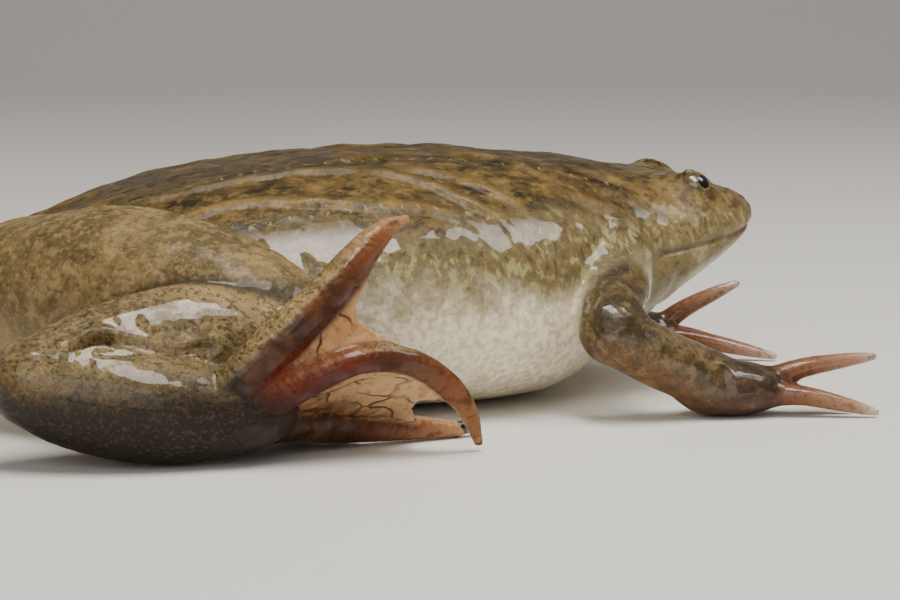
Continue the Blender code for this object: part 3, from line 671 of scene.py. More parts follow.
def shape_skin(field, points, outwards):
    """Moves the skin out along ridges and lumps and in along creases.

    Each line's part is a bell curve of the distance to it, and the lumps are smooth noise."""
    calm = (0.3 + 0.7 * ramp(body_distance(*points.T), 4.0, 1.0)) * ramp(points[:, 0], 60, 36)
    shift = calm * (0.20 * lattice_noise(points, 9.0) + 0.10 * lattice_noise(points, 4.2, 3.3))
    on_top = ramp(outwards[:, 2], 0.1, 0.7)
    shift = shift + (0.3 + 0.7 * on_top) * calm * (
        0.12 * lattice_noise(points, 2.2, 9.1) + 0.07 * lattice_noise(points, 1.25, 4.7)
    )
    wobble = 1 + 0.45 * lattice_noise(points, 3.0, 5.5)
    for side in SIDES:
        for line, height, width in BACK_RIDGES:
            crest = np.array(both_ways(line, side), float)
            gap, taper = along_ridge(field, points, crest, width)
            beneath = line_on_skin(field, crest + (0, side * 1.3 * width, -width))
            foot = distance_to_line(points, beneath, 4 * width)
            shift = shift + height * wobble * taper * (bell(gap, width) - 0.5 * bell(foot, 0.7 * width))
        for line, depth, width in CREASES:
            gap = distance_to_line(points, line_on_skin(field, both_ways(line, side)), 5 * width)
            shift = shift - depth * bell(gap, width) + 0.35 * depth * bell(gap - 2.2 * width, width)
        gap = distance_to_line(points, line_on_skin(field, both_ways(NOSTRIL, side), 0.2), 2.0)
        shift = shift - NOSTRIL_DEPTH * bell(gap, 0.30) + 0.14 * bell(gap - 0.75, 0.3)
    gap, open_by = along_slit(field, points)
    taper = open_by ** 0.7
    shift = shift - SLIT_DEPTH * taper * bell(gap, 0.52) + 0.3 * taper * bell(gap - 1.3, 0.5)
    lips = field.pull(mouth_line(), 3)[0]
    gap = distance_to_line(points, lips, 3.0)
    over = distance_to_line(points, field.pull(lips + (0, 0, 0.9), 3)[0], 3.0)
    shift = shift - MOUTH_DEPTH * bell(gap, 0.32) + 0.08 * bell(over, 0.7)
    thin = ramp(points[:, 2], 0.2, 1.6)
    return points + outwards * (shift * thin)[:, None]


def add_object(name, data):
    item = bpy.data.objects.new(name, data)
    bpy.context.scene.collection.objects.link(item)
    return item


def new_mesh_object(name, points, faces):
    """An object from whole arrays of points, in millimetres, and of quads or triangles."""
    mesh = bpy.data.meshes.new(name)
    sides = faces.shape[1]
    mesh.vertices.add(len(points))
    mesh.vertices.foreach_set("co", (points * MM).astype(np.float32).ravel())
    mesh.loops.add(faces.size)
    mesh.loops.foreach_set("vertex_index", faces.astype(np.int32).ravel())
    mesh.polygons.add(len(faces))
    mesh.polygons.foreach_set("loop_start", np.arange(0, faces.size, sides, dtype=np.int32))
    mesh.update(calc_edges=True)
    mesh.validate()
    mesh.shade_smooth()
    return add_object(name, mesh)


def thinned(item, triangles):
    """Merges the flattest triangles of a piece until it has the given count."""
    item.data.calc_loop_triangles()
    modifier = item.modifiers.new("thin", "DECIMATE")
    modifier.ratio = triangles / len(item.data.loop_triangles)
    graph = bpy.context.evaluated_depsgraph_get()
    mesh = bpy.data.meshes.new_from_object(item.evaluated_get(graph))
    item.modifiers.clear()
    item.data = mesh
    mesh.shade_smooth()


def set_mask(mesh, name, values):
    layer = mesh.attributes.new(name, "FLOAT", "POINT")
    layer.data.foreach_set("value", np.clip(values, 0, 1).astype(np.float32))


def mesh_points(mesh):
    points = np.empty(len(mesh.vertices) * 3, np.float32)
    mesh.vertices.foreach_get("co", points)
    return points.reshape(-1, 3).astype(float) / MM


def make_skin():
    """The one skin, from the field of distances."""
    field = Field()
    shapes = make_shapes()
    web = np.full(field.value.shape, FAR, np.float32)
    for side in SIDES:
        toes = toe_paths(side)
        for outer, inner, *edge in WEBS[side]:
            stamp_web(field, web_grid(toes[outer], toes[inner], *edge), web)
    grow_flesh(field, shapes, web)
    field.settle()
    points, quads = surface_nets(field)
    points, outwards = field.pull(points, 3)
    points = shape_skin(field, points, outwards)
    points[:, 2] = np.maximum(points[:, 2], 0.0)
    skin = new_mesh_object("skin", points, quads)
    thinned(skin, SKIN_TRIANGLES)
    paint_masks(skin, field, shapes, web)
    return skin


def from_nearer(points, place):
    """Distance to a place with y outwards, on whichever side is nearer."""
    return np.minimum(*(np.linalg.norm(points - on_side(place, side), axis=1) for side in SIDES))


def foot_fan(points):
    """Polar coordinates in the foot's own plane, which FOOT_TOP stands upright on.

    The reach is from the nearer foot's base, and the turn is about the base on the point's own side."""
    reach, turn = [], []
    for side in SIDES:
        away = points - on_side(FOOT_BASE, side)
        over = unit(FOOT_TOP[side])
        ahead = unit(np.cross((0.0, 1.0, 0.0), over))
        reach.append(np.linalg.norm(away - (away @ over)[:, None] * over, axis=1))
        turn.append(np.arctan2(away @ np.cross(over, ahead), away @ ahead))
    return np.minimum(*reach), np.where(points[:, 1] < 0, *turn)


def paint_masks(skin, field, shapes, web):
    """Point attributes that say what part of the frog each place is, and where shade and light are painted.
    """
    points = mesh_points(skin.data)
    x, y, z = points.T
    _, outwards = field.pull(points, 1)
    body = body_distance(x, y, z)
    names = list(shapes)
    gaps = np.full((len(names), len(points)), FAR)
    shares = np.zeros((len(names), len(points)))
    for row, shape in enumerate(shapes.values()):
        near = np.all((points > shape.low - 6) & (points < shape.high + 6), axis=1)
        if isinstance(shape, Tube):
            gaps[row, near], shares[row, near] = shape.measure(*points[near].T)
        else:
            gaps[row, near] = shape.distance(*points[near].T)
    member = np.array([n.split("_")[0] for n in names])

    def belongs(*kinds, fade=0.9):
        """1 where one of these forms is nearest, fading over a few millimetres into the others."""
        mine = np.isin(member, kinds)
        others = np.minimum(gaps[~mine].min(0), body)
        return ramp(others - gaps[mine].min(0), -fade, fade)

    nearest = gaps.argmin(0)
    on_digit = np.isin(member[nearest], ("toe", "finger"))
    web_gap = field.read(points, web)
    toe_gap = gaps[np.isin(member, ("toe", "foot"))].min(0)
    _, rise, drop, widest = body_profile(x)
    reach = np.where(z > widest, rise, drop)
    height = (z - widest) / np.maximum(reach, np.where(x < 0, LEAST_REAR_REACH, 0.0))
    ridges = np.zeros(len(points))
    stitch_gap, stitch_along = np.full(len(points), FAR), np.zeros(len(points))
    for side in SIDES:
        for line, _, width in BACK_RIDGES:
            gap, taper = along_ridge(field, points, both_ways(line, side), width)
            ridges = np.maximum(ridges, taper * bell(gap, 0.9 * width))
        for line in STITCH_LINES:
            gap, along = beside_line(points, line_on_skin(field, both_ways(line, side)), 4)
            stitch_along = np.where(gap < stitch_gap, along, stitch_along)
            stitch_gap = np.minimum(stitch_gap, gap)
    lips = distance_to_line(points, field.pull(mouth_line(), 3)[0], 6)
    foot_top = np.where((y < 0)[:, None], unit(FOOT_TOP[RIGHT]), unit(FOOT_TOP[LEFT]))
    thigh = gaps[member == "thigh"].min(0)
    shank = gaps[np.isin(member, ("shank", "tarsus"))].min(0)
    # Where shade is painted: the creases where the thigh meets the shank and the body.
    fold_shade = np.maximum(bell(thigh - shank, 0.7), 0.8 * bell(thigh - body, 0.5)) * ramp(thigh, 1.5, 0.3)
    foot_root = from_nearer(points, np.array(FOOT_BASE) + (0, 1.5, -1.5))
    fan_reach, fan_turn = foot_fan(points)
    third = [names.index(f"toe_{label}_3") for label in SIDES.values()]
    third_behind = np.where(gaps[third[0]] < gaps[third[1]], shares[third[0]], shares[third[1]])
    slit_gap, open_by = along_slit(field, points)
    # The slit's upper lip, under which shade is painted.
    slit_top = line_on_skin(field, np.array(both_ways(SLIT, RIGHT)) + (0, 0, 0.5), 0.3)
    slit_lip_shade = bell(distance_to_line(points, slit_top, 3), 0.26) * open_by
    red = distance_to_line(points, np.array(both_ways(RED_FLESH, RIGHT), float), 9)
    masks = {
        "leg": belongs("thigh", "shank", "tarsus", "foot", "toe", fade=1.6),
        "low_leg": belongs("shank", "tarsus", "foot", "toe", fade=1.5),
        "arm": belongs("upper", "forearm", "palm", "finger", fade=1.6) * ramp(body, 0.3, 4.0),
        "hand": belongs("palm", "finger", fade=3.0),
        "finger": belongs("finger", fade=1.2),
        "foot": belongs("foot", "toe", fade=4.0),
        "share": shares[nearest, np.arange(len(points))] * on_digit,
        "web": ramp(toe_gap - web_gap, 0.0, 0.8) * ramp(web_gap, 1.2, 0.6),
        "height": 0.5 + 0.5 * height,
        "under": ramp(-outwards[:, 2], -0.15, 0.65),
        "foot_top": 0.5 + 0.5 * (outwards * foot_top).sum(1),
        "red": bell(red, 2.7),
        "head": ramp(x, 31, 41) * ramp(body, 2.5, 0.5),
        "lips": bell(lips, 1.2) * ramp(x, 44, 51),
        # Painted shade in the mouth's groove and under the slit's upper lip.
        "mouth": np.maximum(bell(lips, 0.33), slit_lip_shade),
        "slit": bell(slit_gap, 0.55) * open_by,
        # Height over the floor, which leads the painted shade and the drier coat on the lower leg.
        "low": ramp(z, 15.0, 3.0),
        "rear": ramp(x, -38, -50),
        "fold_shade": fold_shade,
        # Painted light along the shank's upper edge by the thigh, on faces that look up, partly also the
        # skin's own paler colour.
        "rim": bell(thigh - shank - 1.5, 1.1) * ramp(outwards[:, 2], -0.1, 0.4),
        # Painted shade at and below the foot's base, partly also the skin's own dark colour.
        "root": bell(foot_root, 6.0),
        "fan_reach": fan_reach / 40,
        "fan_turn": fan_turn / 7 + 0.5,
        "near_root": bell(foot_root - 5.0, 8.0),
        "beside_third": ramp(gaps[third].min(0), 5.0, 0.3) * ramp(third_behind, 0.85, 0.5),
        "thigh_dark": bell(from_nearer(points, THIGH_DARK), 8.5),
        "ridge": ridges,
        "stitch_gap": stitch_gap / 4,
        "stitch_along": stitch_along / 100,
    }
    for name, values in masks.items():
        set_mask(skin.data, name, values)


def ringed_object(name, first, rings, last, turned=False):
    """A closed piece: rings of points joined by quads, and by a fan to a point at each end.

    Where the rings run the other way round, the faces are turned so that they point outwards."""
    count, sides = rings.shape[:2]
    points = np.vstack([first, rings.reshape(-1, 3), last])
    i, j = np.meshgrid(np.arange(count - 1), np.arange(sides), indexing="ij")
    here, beside = 1 + i * sides + j, 1 + i * sides + (j + 1) % sides
    quads = np.stack([here, here + sides, beside + sides, beside], axis=2).reshape(-1, 4)
    a, end = np.arange(sides), len(points) - 1
    b = (a + 1) % sides
    fans = np.vstack([
        np.column_stack([0 * a, 1 + a, 1 + b]),
        np.column_stack([0 * a + end, end - sides + b, end - sides + a]),
    ])
    if turned:
        quads, fans = quads[:, [0, 3, 2, 1]], fans[:, [0, 2, 1]]
    mesh = bpy.data.meshes.new(name)
    mesh.from_pydata((points * MM).tolist(), [], quads.tolist() + fans.tolist())
    mesh.update()
    mesh.shade_smooth()
    return add_object(name, mesh)


def make_eye(side):
    """An eyeball of rings about the gaze, with the angle from the gaze as an attribute.

    A bell curve of that angle adds the cornea's bulge to the radius."""
    centre = np.array(on_side(EYE_CENTRE, side))
    gaze = unit(on_side(GAZE, side))
    polar = np.linspace(0, math.pi, 48)
    swell = EYE_RADIUS * (1 + CORNEA_BULGE * bell(polar, 0.55))
    level, out = np.cos(polar[1:-1])[:, None, None], np.sin(polar[1:-1])[:, None, None]
    rings = centre + swell[1:-1, None, None] * (level * gaze + out * circle(*eye_frame(gaze), 64)[None])
    eye = ringed_object("eyeball_" + SIDES[side], centre + gaze * swell[0], rings, centre - gaze * swell[-1])
    offset = mesh_points(eye.data) - centre
    cosine = offset @ gaze / np.linalg.norm(offset, axis=1)
    set_mask(eye.data, "off_gaze", np.arccos(np.clip(cosine, -1, 1)) / math.pi)
    return eye


def make_claw(side, number):
    """A curved horn: rings that shrink along a short arc, from inside the toe's end to a blunt point."""
    points, radii = toe_paths(side)[number]
    path, _ = smooth_path(points, radii, len(points) + 3)
    ahead = unit(path[-1] - path[-2])
    down = np.array((0.0, 0.0, -1.0))
    across = unit(np.cross(ahead, down))
    t = np.linspace(0, 1, 16)
    start = path[-1] - ahead * CLAW_ROOT
    length = CLAW_LENGTH + 0.4
    arch = (0, 0, CLAW_ARCH) * np.sin(math.pi * t * 0.9)[:, None]
    centres = start + ahead * (length * t)[:, None] + arch
    centres = centres + down * (CLAW_DROP * t**2)[:, None]
    width = radii[-1] * 0.92 * (1 - t**1.6) ** 0.75 + 0.05
    rings = centres[:, None, :] + width[:, None, None] * circle(across, np.cross(ahead, across), 16)[None]
    rings[:, :, 2] = np.maximum(rings[:, :, 2], 0.02)
    name = f"horn_{SIDES[side]}_{number}"
    return ringed_object(name, centres[0], rings, centres[-1] + ahead * 0.04, turned=True)


# Camera, from the photo's view
CAMERA_AZIMUTH = -15.0
CAMERA_ELEVATION = 7.5
CAMERA_DISTANCE = 420.0
CAMERA_LENS = 134.4  # on a 36 mm sensor
TARGET_ALONG = 13.5  # millimetres right of the origin, as the camera sees it
TARGET_HEIGHT = 11.6
FLOOR_DROP = 0.00003  # metres from the frog's underside down to the floor


def make_camera():
    azimuth, elevation = math.radians(CAMERA_AZIMUTH), math.radians(CAMERA_ELEVATION)
    level = math.cos(elevation)
    back = Vector((math.sin(azimuth) * level, -math.cos(azimuth) * level, math.sin(elevation)))
    right = Vector((math.cos(azimuth), math.sin(azimuth), 0.0))
    target = (right * TARGET_ALONG + Vector((0, 0, TARGET_HEIGHT))) * MM
    data = bpy.data.cameras.new("camera")
    data.lens = CAMERA_LENS
    data.sensor_width = 36.0
    data.clip_start = 0.01
    camera = add_object("camera", data)
    camera.location = target + back * (CAMERA_DISTANCE * MM)
    camera.rotation_euler = (-back).to_track_quat("-Z", "Y").to_euler()
    bpy.context.scene.camera = camera


def soft_box(name, place, target, width, depth, watts, colour=(1.0, 1.0, 1.0)):
    data = bpy.data.lights.new(name, "AREA")
    data.shape = "RECTANGLE"
    data.size = width
    data.size_y = depth
    data.energy = watts
    data.color = colour
    light = add_object(name, data)
    light.location = place
    light.rotation_euler = (Vector(target) - Vector(place)).to_track_quat("-Z", "Y").to_euler()


def make_stage():
    """A pale floor that curves up into a pale backdrop, a dim even sky, and soft boxes."""
    turn = math.radians(CAMERA_AZIMUTH)
    s = np.linspace(-1.2, 1.6, 141)
    bend, radius = 0.55, 0.5
    arc = np.clip((s - bend) / radius, 0, math.pi / 2)
    along = np.where(s < bend, s, bend + radius * np.sin(arc))
    height = np.where(s < bend, 0.0, radius * (1 - np.cos(arc)))
    height = height + np.maximum(s - bend - radius * math.pi / 2, 0)
    across = np.linspace(-2.2, 2.2, 3)
    a, w = np.meshgrid(along, across, indexing="ij")
    h = np.repeat(height[:, None], 3, axis=1)
    c, d = math.cos(turn), math.sin(turn)
    points = np.stack([w * c - a * d, w * d + a * c, h], axis=2)
    i, j = np.meshgrid(np.arange(len(s) - 1), np.arange(2), indexing="ij")
    first = i * 3 + j
    quads = np.stack([first, first + 1, first + 4, first + 3], axis=2).reshape(-1, 4)
    floor = new_mesh_object("stage_floor", points.reshape(-1, 3) / MM, quads)
    floor.location.z = -FLOOR_DROP
    paper, _, _ = new_material("stage_paper", {"Base Color": (0.84, 0.83, 0.81, 1.0), "Roughness": 0.6})
    floor.data.materials.append(paper)
    world = bpy.data.worlds.new("sky")
    world.use_nodes = True
    sky = world.node_tree.nodes["Background"].inputs
    sky["Color"].default_value = (1.0, 0.97, 0.93, 1.0)
    sky["Strength"].default_value = 0.13
    bpy.context.scene.world = world
    soft_box("window", (0.02, -0.12, 0.48), (-0.01, -0.02, 0.02), 0.15, 0.40, 2.5, (1.0, 0.95, 0.88))
    soft_box("fill", (0.32, -0.09, 0.45), (0.03, -0.01, 0.02), 0.18, 0.22, 0.9, (1.0, 0.96, 0.9))
    soft_box("front", (-0.34, -0.85, 0.42), (0, 0, 0.01), 1.1, 0.8, 4.6, (1.0, 0.95, 0.88))


# Materials


class Nodes:
    """Short calls for building a material's node tree."""

    def __init__(self, tree):
        self.tree = tree

    def put(self, kind, settings=(), **inputs):
        """A node with its settings, and its inputs by name, or by number as n0, n1 and so on."""
        node = self.tree.nodes.new(kind)
        for key, value in dict(settings).items():
            setattr(node, key, value)
        for key, value in inputs.items():
            self.feed(node.inputs[int(key[1:]) if key[0] == "n" else key], value)
        return node

    def feed(self, socket, value):
        if isinstance(value, bpy.types.NodeSocket):
            self.tree.links.new(value, socket)
        else:
            socket.default_value = value

    def mask(self, name):
        return self.put("ShaderNodeAttribute", {"attribute_name": name}).outputs["Fac"]

    def math(self, operation, a, b=0.0, c=0.0):
        return self.put("ShaderNodeMath", {"operation": operation}, n0=a, n1=b, n2=c).outputs[0]

    def times(self, a, b):
        return self.math("MULTIPLY", a, b)

    def plus(self, a, b):
        return self.math("ADD", a, b)

    def minus(self, a, b):
        return self.math("SUBTRACT", a, b)

    def stray(self, value, noise, width):
        """A value that a noise from 0 to 1 moves up and down within a width."""
        return self.plus(value, self.times(self.minus(noise, 0.5), width))

    def blend(self, share, a, b):
        """A number from a to b."""
        return self.put("ShaderNodeMix", {}, n0=share, n2=a, n3=b).outputs[0]

    def step(self, value, low, high, start=0.0, end=1.0):
        """Smoothstep from start at low to end at high."""
        kind = {"interpolation_type": "SMOOTHSTEP"}
        return self.put("ShaderNodeMapRange", kind, n0=value, n1=low, n2=high, n3=start, n4=end).outputs[0]

    def ramp(self, value, stops):
        """Colours at shares of a value, blended evenly from one to the next."""
        node = self.put("ShaderNodeValToRGB", {}, n0=value)
        while len(node.color_ramp.elements) < len(stops):
            node.color_ramp.elements.new(0.5)
        for element, (at, shade) in zip(node.color_ramp.elements, stops):
            element.position = at
            element.color = shade
        return node.outputs[0]

    def stretched(self, place, scale):
        return self.put("ShaderNodeMapping", {}, Scale=scale, Vector=place).outputs[0]

    def mix(self, share, a, b):
        settings = {"data_type": "RGBA", "clamp_factor": True}
        return self.put("ShaderNodeMix", settings, n0=share, n6=a, n7=b).outputs[2]

    def marked(self, base, *rows):
        """A colour with marks on it. Each mark has a value, where along it the mark starts and is full,
        how much of it shows at most, and a shade."""
        for value, low, high, most, shade in rows:
            base = self.mix(self.step(value, low, high, 0.0, most), base, shade)
        return base

    def noise(self, place, scale, detail=3.0, rough=0.55, warp=0.0):
        settings = {"Scale": scale, "Detail": detail, "Roughness": rough, "Distortion": warp}
        return self.put("ShaderNodeTexNoise", {}, **settings, Vector=place).outputs["Fac"]


def colour(red, green, blue):
    """An sRGB colour, from 0 to 255, as the linear one that shaders take."""
    channels = [c / 255 for c in (red, green, blue)]
    return (*(c / 12.92 if c < 0.04045 else ((c + 0.055) / 1.055) ** 2.4 for c in channels), 1.0)


BACK_DARK, BACK_LIGHT = colour(72, 58, 28), colour(104, 83, 42)
BACK_SPOT, BACK_PALE = colour(36, 27, 12), colour(146, 118, 62)
FLANK, FLANK_FLECK, FLANK_DARK = colour(112, 97, 60), colour(158, 147, 102), colour(64, 54, 30)
BELLY, BELLY_DARK = colour(242, 233, 208), colour(208, 195, 162)
THROAT, THROAT_DARK = colour(168, 154, 116), colour(122, 108, 72)
# The second colour on the next line is painted shade, for the mouth's groove and under the slit's upper lip.
LIPS, MOUTH_AND_SLIT_SHADE = colour(150, 106, 76), colour(48, 30, 18)
LEG_DARK, LEG_LIGHT, LEG_PALE = colour(98, 82, 48), colour(134, 113, 72), colour(166, 144, 98)
# The third colour on the next line is the legs' painted shade, for their creases, the lower legs' undersides
# and the parts near the floor; in the last two it is partly also the skin's own dark colour.
LEG_SPOT, LEG_UNDER, LEG_SHADE_AND_DARK_SKIN = colour(54, 41, 21), colour(160, 140, 104), colour(23, 14, 6)
# A paler ochre band along the shank's upper edge by the thigh, on faces that look up: partly the skin's own
# colour, partly painted light.
LEG_RIM_TONE_AND_LIGHT = colour(174, 146, 96)
ARM_DARK, ARM_LIGHT, ARM_UNDER = colour(60, 49, 29), colour(104, 86, 54), colour(108, 66, 36)
HAND, FINGER = colour(50, 25, 12), colour(124, 78, 46)
FINGER_PALE, FINGER_TIP = colour(158, 120, 96), colour(190, 168, 146)
# The first colour on the next line is very dark: the toes' own dark roots on the sole side, and painted shade
# at and below the foot's base.
SOLE_ROOT_DARK_AND_SHADE, SOLE_DARK, SOLE = colour(20, 10, 5), colour(36, 13, 3), colour(68, 30, 5)
SOLE_PALE, SOLE_OCHRE, TOE_TIP = colour(124, 72, 34), colour(104, 60, 14), colour(172, 130, 88)
RED, VEIN = colour(118, 36, 12), colour(50, 22, 10)
WEB, WEB_DARK = colour(208, 170, 124), colour(176, 128, 82)
HEAD_PALE, CHEEK = colour(140, 116, 66), colour(146, 132, 94)
STITCH = colour(196, 180, 130)
STITCH_PITCH = 2.2  # millimetres from one stitch to the next


def new_material(name, constants):
    """A material, its shader with these constants set on its sockets, and the calls for its nodes."""
    material = bpy.data.materials.new(name)
    material.use_nodes = True
    shader = material.node_tree.nodes["Principled BSDF"]
    for socket, value in constants.items():
        shader.inputs[socket].default_value = value
    return material, shader, Nodes(material.node_tree)


def skin_material():
    """Wet skin: mottled back, flecked flanks, cream belly, speckled legs, red-brown feet and veined webs."""
    material, shader, n = new_material("wet_skin", {
        "Specular IOR Level": 0.25,
        "Coat IOR": 1.5,
        "Coat Roughness": 0.05,
        "Subsurface Weight": 0.05,
        "Subsurface Radius": (1.0, 0.45, 0.25),
        "Subsurface Scale": 0.0012,
    })
    place = n.put("ShaderNodeTexCoord").outputs["Object"]
    height, under, leg, arm = n.mask("height"), n.mask("under"), n.mask("leg"), n.mask("arm")
    foot, share, web = n.mask("foot"), n.mask("share"), n.mask("web")
    ridge, head = n.mask("ridge"), n.mask("head")

    # Noises, two of them drawn out along the body or upwards
    long = n.stretched(place, (0.45, 1.0, 1.0))
    tall = n.stretched(place, (1.0, 1.0, 0.42))
    blotch = n.noise(place, 150, 4, 0.6, 0.5)
    patch = n.noise(long, 420, 4, 0.62, 0.4)
    grain = n.noise(place, 1100, 3, 0.6)
    speckle = n.noise(place, 1500, 4, 0.7)
    fleck = n.noise(tall, 950, 3, 0.55, 0.3)
    mottle = n.noise(place, 620, 3, 0.6, 0.3)
    fine = n.noise(place, 2100, 2, 0.6)

    # Trunk and head: back, flank, throat and belly by height
    back = n.mix(n.step(blotch, 0.38, 0.62), BACK_DARK, BACK_LIGHT)
    back = n.marked(
        back,
        (patch, 0.47, 0.36, 0.9, BACK_SPOT),
        (patch, 0.55, 0.70, 0.55, BACK_PALE),
        (mottle, 0.54, 0.66, 0.5, BACK_PALE),
        (mottle, 0.47, 0.37, 0.6, BACK_SPOT),
        (grain, 0.45, 0.32, 0.5, BACK_SPOT),
    )
    back = n.mix(n.times(ridge, 0.7), back, n.mix(n.step(patch, 0.4, 0.6), BACK_LIGHT, BACK_PALE))
    back = n.mix(n.times(head, n.step(mottle, 0.42, 0.60, 0.1, 0.75)), back, HEAD_PALE)
    flank = n.mix(n.step(fleck, 0.50, 0.62), FLANK, FLANK_FLECK)
    flank = n.mix(n.times(head, n.step(blotch, 0.60, 0.40, 0.1, 0.6)), flank, CHEEK)
    flank = n.mix(n.step(fleck, 0.46, 0.34, 0.0, 0.7), flank, FLANK_DARK)
    belly = n.mix(n.step(grain, 0.36, 0.62), BELLY_DARK, BELLY)
    flank = n.mix(n.times(head, n.step(mottle, 0.48, 0.38, 0.0, 0.6)), flank, BACK_DARK)
    throat = n.mix(n.step(blotch, 0.42, 0.60), THROAT_DARK, THROAT)
    throat = n.mix(n.step(speckle, 0.46, 0.34, 0.0, 0.6), throat, FLANK_DARK)
    belly = n.mix(n.times(n.step(head, 0.0, 0.4), n.step(under, 1.8, 0.6)), belly, throat)
    level = n.stray(height, blotch, 0.30)
    level = n.stray(level, fleck, 0.16)
    level = n.plus(level, n.times(n.mask("rear"), 0.3))
    trunk = n.mix(n.step(level, 0.72, 0.88), flank, back)
    trunk = n.mix(n.step(level, 0.68, 0.50), trunk, belly)
    lips = n.times(n.mask("lips"), n.step(blotch, 0.35, 0.6, 0.2, 0.6))
    trunk = n.mix(lips, trunk, LIPS)
    trunk = n.mix(n.step(height, 0.93, 1.0, 0.0, 0.35), trunk, BACK_SPOT)

    # Legs
    low_leg = n.mask("low_leg")
    legs = n.mix(n.step(blotch, 0.40, 0.58), LEG_DARK, LEG_LIGHT)
    legs = n.marked(
        legs,
        (patch, 0.52, 0.68, 0.6, LEG_PALE),
        (patch, 0.48, 0.36, 0.6, LEG_DARK),
        (mottle, 0.53, 0.63, 0.45, LEG_PALE),
        (mottle, 0.46, 0.36, 0.55, LEG_DARK),
        (fine, 0.54, 0.66, 0.4, LEG_PALE),
    )
    # The paler band along the shank's upper edge: partly the skin's own colour, partly painted light.
    legs = n.mix(n.times(n.mask("rim"), n.step(patch, 0.35, 0.6, 0.3, 0.7)), legs, LEG_RIM_TONE_AND_LIGHT)
    dotted = n.times(n.step(speckle, 0.50, 0.38), n.blend(low_leg, 0.3, 0.8))
    legs = n.mix(dotted, legs, LEG_SPOT)
    legs = n.mix(n.times(n.step(grain, 0.46, 0.34), n.blend(low_leg, 0.45, 0.6)), legs, LEG_SPOT)
    dark = n.times(n.mask("thigh_dark"), n.step(mottle, 0.56, 0.42))
    legs = n.mix(n.times(dark, 0.6), legs, LEG_SPOT)
    # Painted shade in the creases between the thigh, the shank and the body.
    legs = n.mix(n.times(n.mask("fold_shade"), 0.75), legs, LEG_SHADE_AND_DARK_SKIN)
    # Undersides: the thigh's own pale colour, and painted shade under the shank, heel and foot, partly also
    # their own dark colour.
    legs = n.mix(n.times(under, 0.55), legs, n.mix(low_leg, LEG_UNDER, LEG_SHADE_AND_DARK_SKIN))
    # Towards the floor the lower leg takes painted shade, partly also its own dark colour: it comes in as
    # mottles that grow until they cover the lowest part, with a few olive specks left in it.
    low = n.times(n.mask("low"), low_leg)
    dark_skin_and_low_shade = n.plus(n.times(patch, 0.5), n.times(speckle, 0.5))
    dark_skin_and_low_shade = n.plus(n.times(dark_skin_and_low_shade, 1.5), n.times(low, 0.7))
    legs = n.mix(n.step(dark_skin_and_low_shade, 0.80, 1.30, 0.0, 0.97), legs, LEG_SHADE_AND_DARK_SKIN)
    legs = n.mix(n.times(low, n.step(fine, 0.52, 0.66, 0.0, 0.3)), legs, LEG_DARK)

    # Arms, hands and fingers
    arms = n.mix(n.step(blotch, 0.42, 0.6), ARM_DARK, ARM_LIGHT)
    arms = n.mix(n.step(speckle, 0.50, 0.38, 0.0, 0.7), arms, LEG_SPOT)
    arms = n.mix(n.times(under, 0.55), arms, ARM_UNDER)
    arms = n.marked(
        arms,
        (mottle, 0.52, 0.62, 0.5, LEG_LIGHT),
        (mottle, 0.46, 0.36, 0.5, ARM_DARK),
        (grain, 0.46, 0.34, 0.5, LEG_SPOT),
    )
    arms = n.mix(n.times(n.mask("hand"), n.step(blotch, 0.3, 0.6, 0.3, 0.8)), arms, HAND)
    fingers = n.ramp(share, ((0.0, HAND), (0.35, FINGER), (0.8, FINGER_PALE), (1.0, FINGER_TIP)))
    fingers = n.mix(n.step(grain, 0.48, 0.36, 0.0, 0.45), fingers, HAND)
    arms = n.mix(n.mask("finger"), arms, fingers)

    # Feet: soles, and upper sides like the legs
    shades = ((0.0, SOLE_ROOT_DARK_AND_SHADE), (0.22, SOLE_DARK), (0.5, SOLE), (0.78, SOLE_PALE), (1.0, TOE_TIP))
    sole = n.ramp(share, shades)
    sole = n.marked(
        sole,
        (patch, 0.50, 0.36, 0.75, SOLE_DARK),
        (blotch, 0.50, 0.66, 0.6, SOLE_OCHRE),
    )
    tops = n.mix(n.step(share, 0.45, 1.0), legs, TOE_TIP)
    side = n.stray(n.mask("foot_top"), patch, 0.25)
    feet = n.mix(n.step(side, 0.50, 0.66), sole, tops)
    # Painted shade at and below the foot's base, partly also the skin's own dark colour.
    feet = n.mix(n.times(n.mask("root"), 0.95), feet, SOLE_ROOT_DARK_AND_SHADE)
    feet = n.mix(n.times(n.mask("red"), n.step(blotch, 0.3, 0.6, 0.5, 1.0)), feet, RED)

